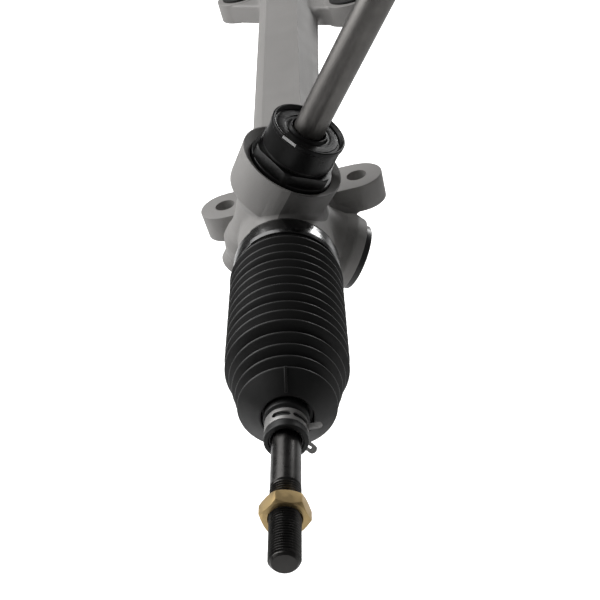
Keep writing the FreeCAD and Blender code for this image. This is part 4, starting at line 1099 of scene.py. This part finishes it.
# %% The cap of the tower and the cap of the boss
def make_cap():
    cap = lathe("cap", [
        (47.9, 17.85), (47.9, 18.5, 0.3), (59.2, 18.6, 0.3), (59.8, 19.1, 0.35),
        (62.0, 19.1, 0.7), (62.0, 17.9, 0.5),
        (60.2, 17.2, 0.4), (60.2, 15.9, 0.2), (60.5, 15.7, 0.2), (60.5, 11.9, 0.2),
        (60.1, 11.7, 0.2), (60.1, 10.4, 0.3), (61.6, 9.6, 0.4), (61.6, 8.9, 0.3),
        (60.0, 8.15, 0.3), (58.2, 8.15), (55.1, 10.0), (55.1, 17.85)], pinion_place, 160)
    facet = radial(pinion_place, 60.9, 240.0)
    combine(cap, slab("facet", (3, 12, 3), facet, (0, 0, 20.25)), "DIFFERENCE")
    finish(smooth(cap), "black_plastic", "housing", "dust_cover")
    # A pale grooved slab on the cut facet is a painted highlight, the glint of the facet painted as a white piece.
    glint = slab("cap_mark", (1.5, 7.6, 0.5), facet, (0.1, 0, 18.6))
    for line in range(-4, 5):
        combine(glint, slab("line", (3, 0.25, 0.3), facet, (0, line * 0.8, 18.9)), "DIFFERENCE")
    finish(glint, "white_plastic", "housing", "dust_cover", coat=pale_mark)


def make_yoke_cap():
    cap = lathe("yoke_cap", [
        (BOSS_END + 0.05, 14.6), (BOSS_END + 0.05, 17.5, 0.15), (41.3, 17.5, 0.8),
        (41.3, 15.3, 0.25), (40.9, 14.6)], yoke_place)
    for turn in range(4):
        spot = radial(yoke_place, 41.3, 45 + turn * 90)
        combine(cap, slab("notch", (2.0, 3.2, 3.0), spot, (0, 0, 15.0)), "DIFFERENCE")
    finish(smooth(cap, 35), "black_steel", "housing", "yoke_lock_nut")


make_cap()
make_yoke_cap()
print("caps done")

# %% [markdown]
# ## The input shaft
# The shaft is one turned bar with fine serrations at its top, made by moving the points of the
# lathe. Its teeth are hidden in the housing, yet they are real helical ones: the outline of
# seven teeth is swept and twisted by the Screw modifier.

# %% The input shaft
def make_teeth():
    """The pinion's seven involute teeth; the radii are in millimetres."""
    pitch, base, tip, root, teeth = 7.0723, 6.6262, 9.8, 5.77, 7
    thickness = 1.9788 / pitch
    outline = []
    for tooth in range(teeth):
        middle = math.pi / 2 + math.tau * tooth / teeth
        flank = []
        for step in range(6):
            radius = base + (tip - base) * (step / 5) ** 1.5
            slope = math.acos(min(1.0, base / radius))
            flank.append((radius, thickness - math.tan(slope) + slope))
        flank.insert(0, (root, thickness))
        outline += [(r, middle - half) for r, half in flank]
        outline += [(r, middle + half) for r, half in reversed(flank)]
    deselect()
    bpy.ops.mesh.primitive_circle_add(vertices=len(outline))
    gear = bpy.context.object
    gear.name = "teeth"
    twist, length = 0.489, 24.0
    for vertex, (radius, angle) in zip(gear.data.vertices, outline):
        turned = angle - twist / 2
        vertex.co = Vector((-length / 2, radius * math.sin(turned),
                            -radius * math.cos(turned))) * MM
    modify(gear, "SCREW", axis="X", angle=twist, screw_offset=length * MM, steps=10,
           render_steps=10, use_normal_calculate=True)
    return settle(gear, pinion_place)


def make_shaft():
    shaft = lathe("shaft", [
        (-31, 0), (-31, 4.4, 0.4), (-30, 5), (-13, 5), (-12, 5.7), (12, 5.7), (14.4, 9.7),
        (16, 9.7), (16, 8.5), (28.6, 8.5), (29.6, 7.75), (148.6, 7.75, 0.6), (149.6, 7.4, 0.2),
        (159.45, 7.4, 0.1), (161.45, 6.2, 0.6), (164.45, 6.2, 0.6), (166.45, 7.4, 0.1),
        (176.8, 7.4, 0.1), (178, 6.3, 0.1), (178, 0)], pinion_place, 144)
    for vertex in shaft.data.vertices:
        offset = pinion_place.inverted() @ vertex.co
        along = offset.x / MM
        if 149.7 < along < 177.5 and math.hypot(offset.y, offset.z) > 7.2 * MM:
            angle = math.atan2(offset.z, offset.y)
            scale = 1 - 0.025 * (0.5 - 0.5 * math.cos(36 * angle))
            offset.y, offset.z = offset.y * scale, offset.z * scale
            vertex.co = pinion_place @ offset
    whole = smooth(join("input_shaft", [shaft, make_teeth()]))
    return finish(whole, "shaft_steel", "pinion", "pinion_shaft")


make_shaft()
print("shaft done")

# %% [markdown]
# ## The studio
# The photograph has a pure white ground. More light would bleach the casting, so the floor
# glows for the camera only, and the gear still casts its shadow on it.

# %% Floor and world
deselect()
bpy.ops.mesh.primitive_plane_add(size=30, location=(0, 0, -0.30))
floor = bpy.context.object
floor.name = "floor"
floor_finish = Shader("floor", {"Base Color": (0.9, 0.9, 0.9, 1.0), "Roughness": 0.9,
                                "Emission Strength": 1.0})
seen = floor_finish.node("ShaderNodeLightPath", output="Is Camera Ray")
floor_finish.feed("Emission Color", floor_finish.blend(seen, grey(0.0), grey(0.75)))
floor.data.materials.append(floor_finish.material)
world = bpy.data.worlds.new("studio")
world.use_nodes = True
world.node_tree.nodes["Background"].inputs["Color"].default_value = (1, 1, 1, 1)
world.node_tree.nodes["Background"].inputs["Strength"].default_value = 0.12
bpy.context.scene.world = world
print("floor at %.2f m" % floor.location.z)
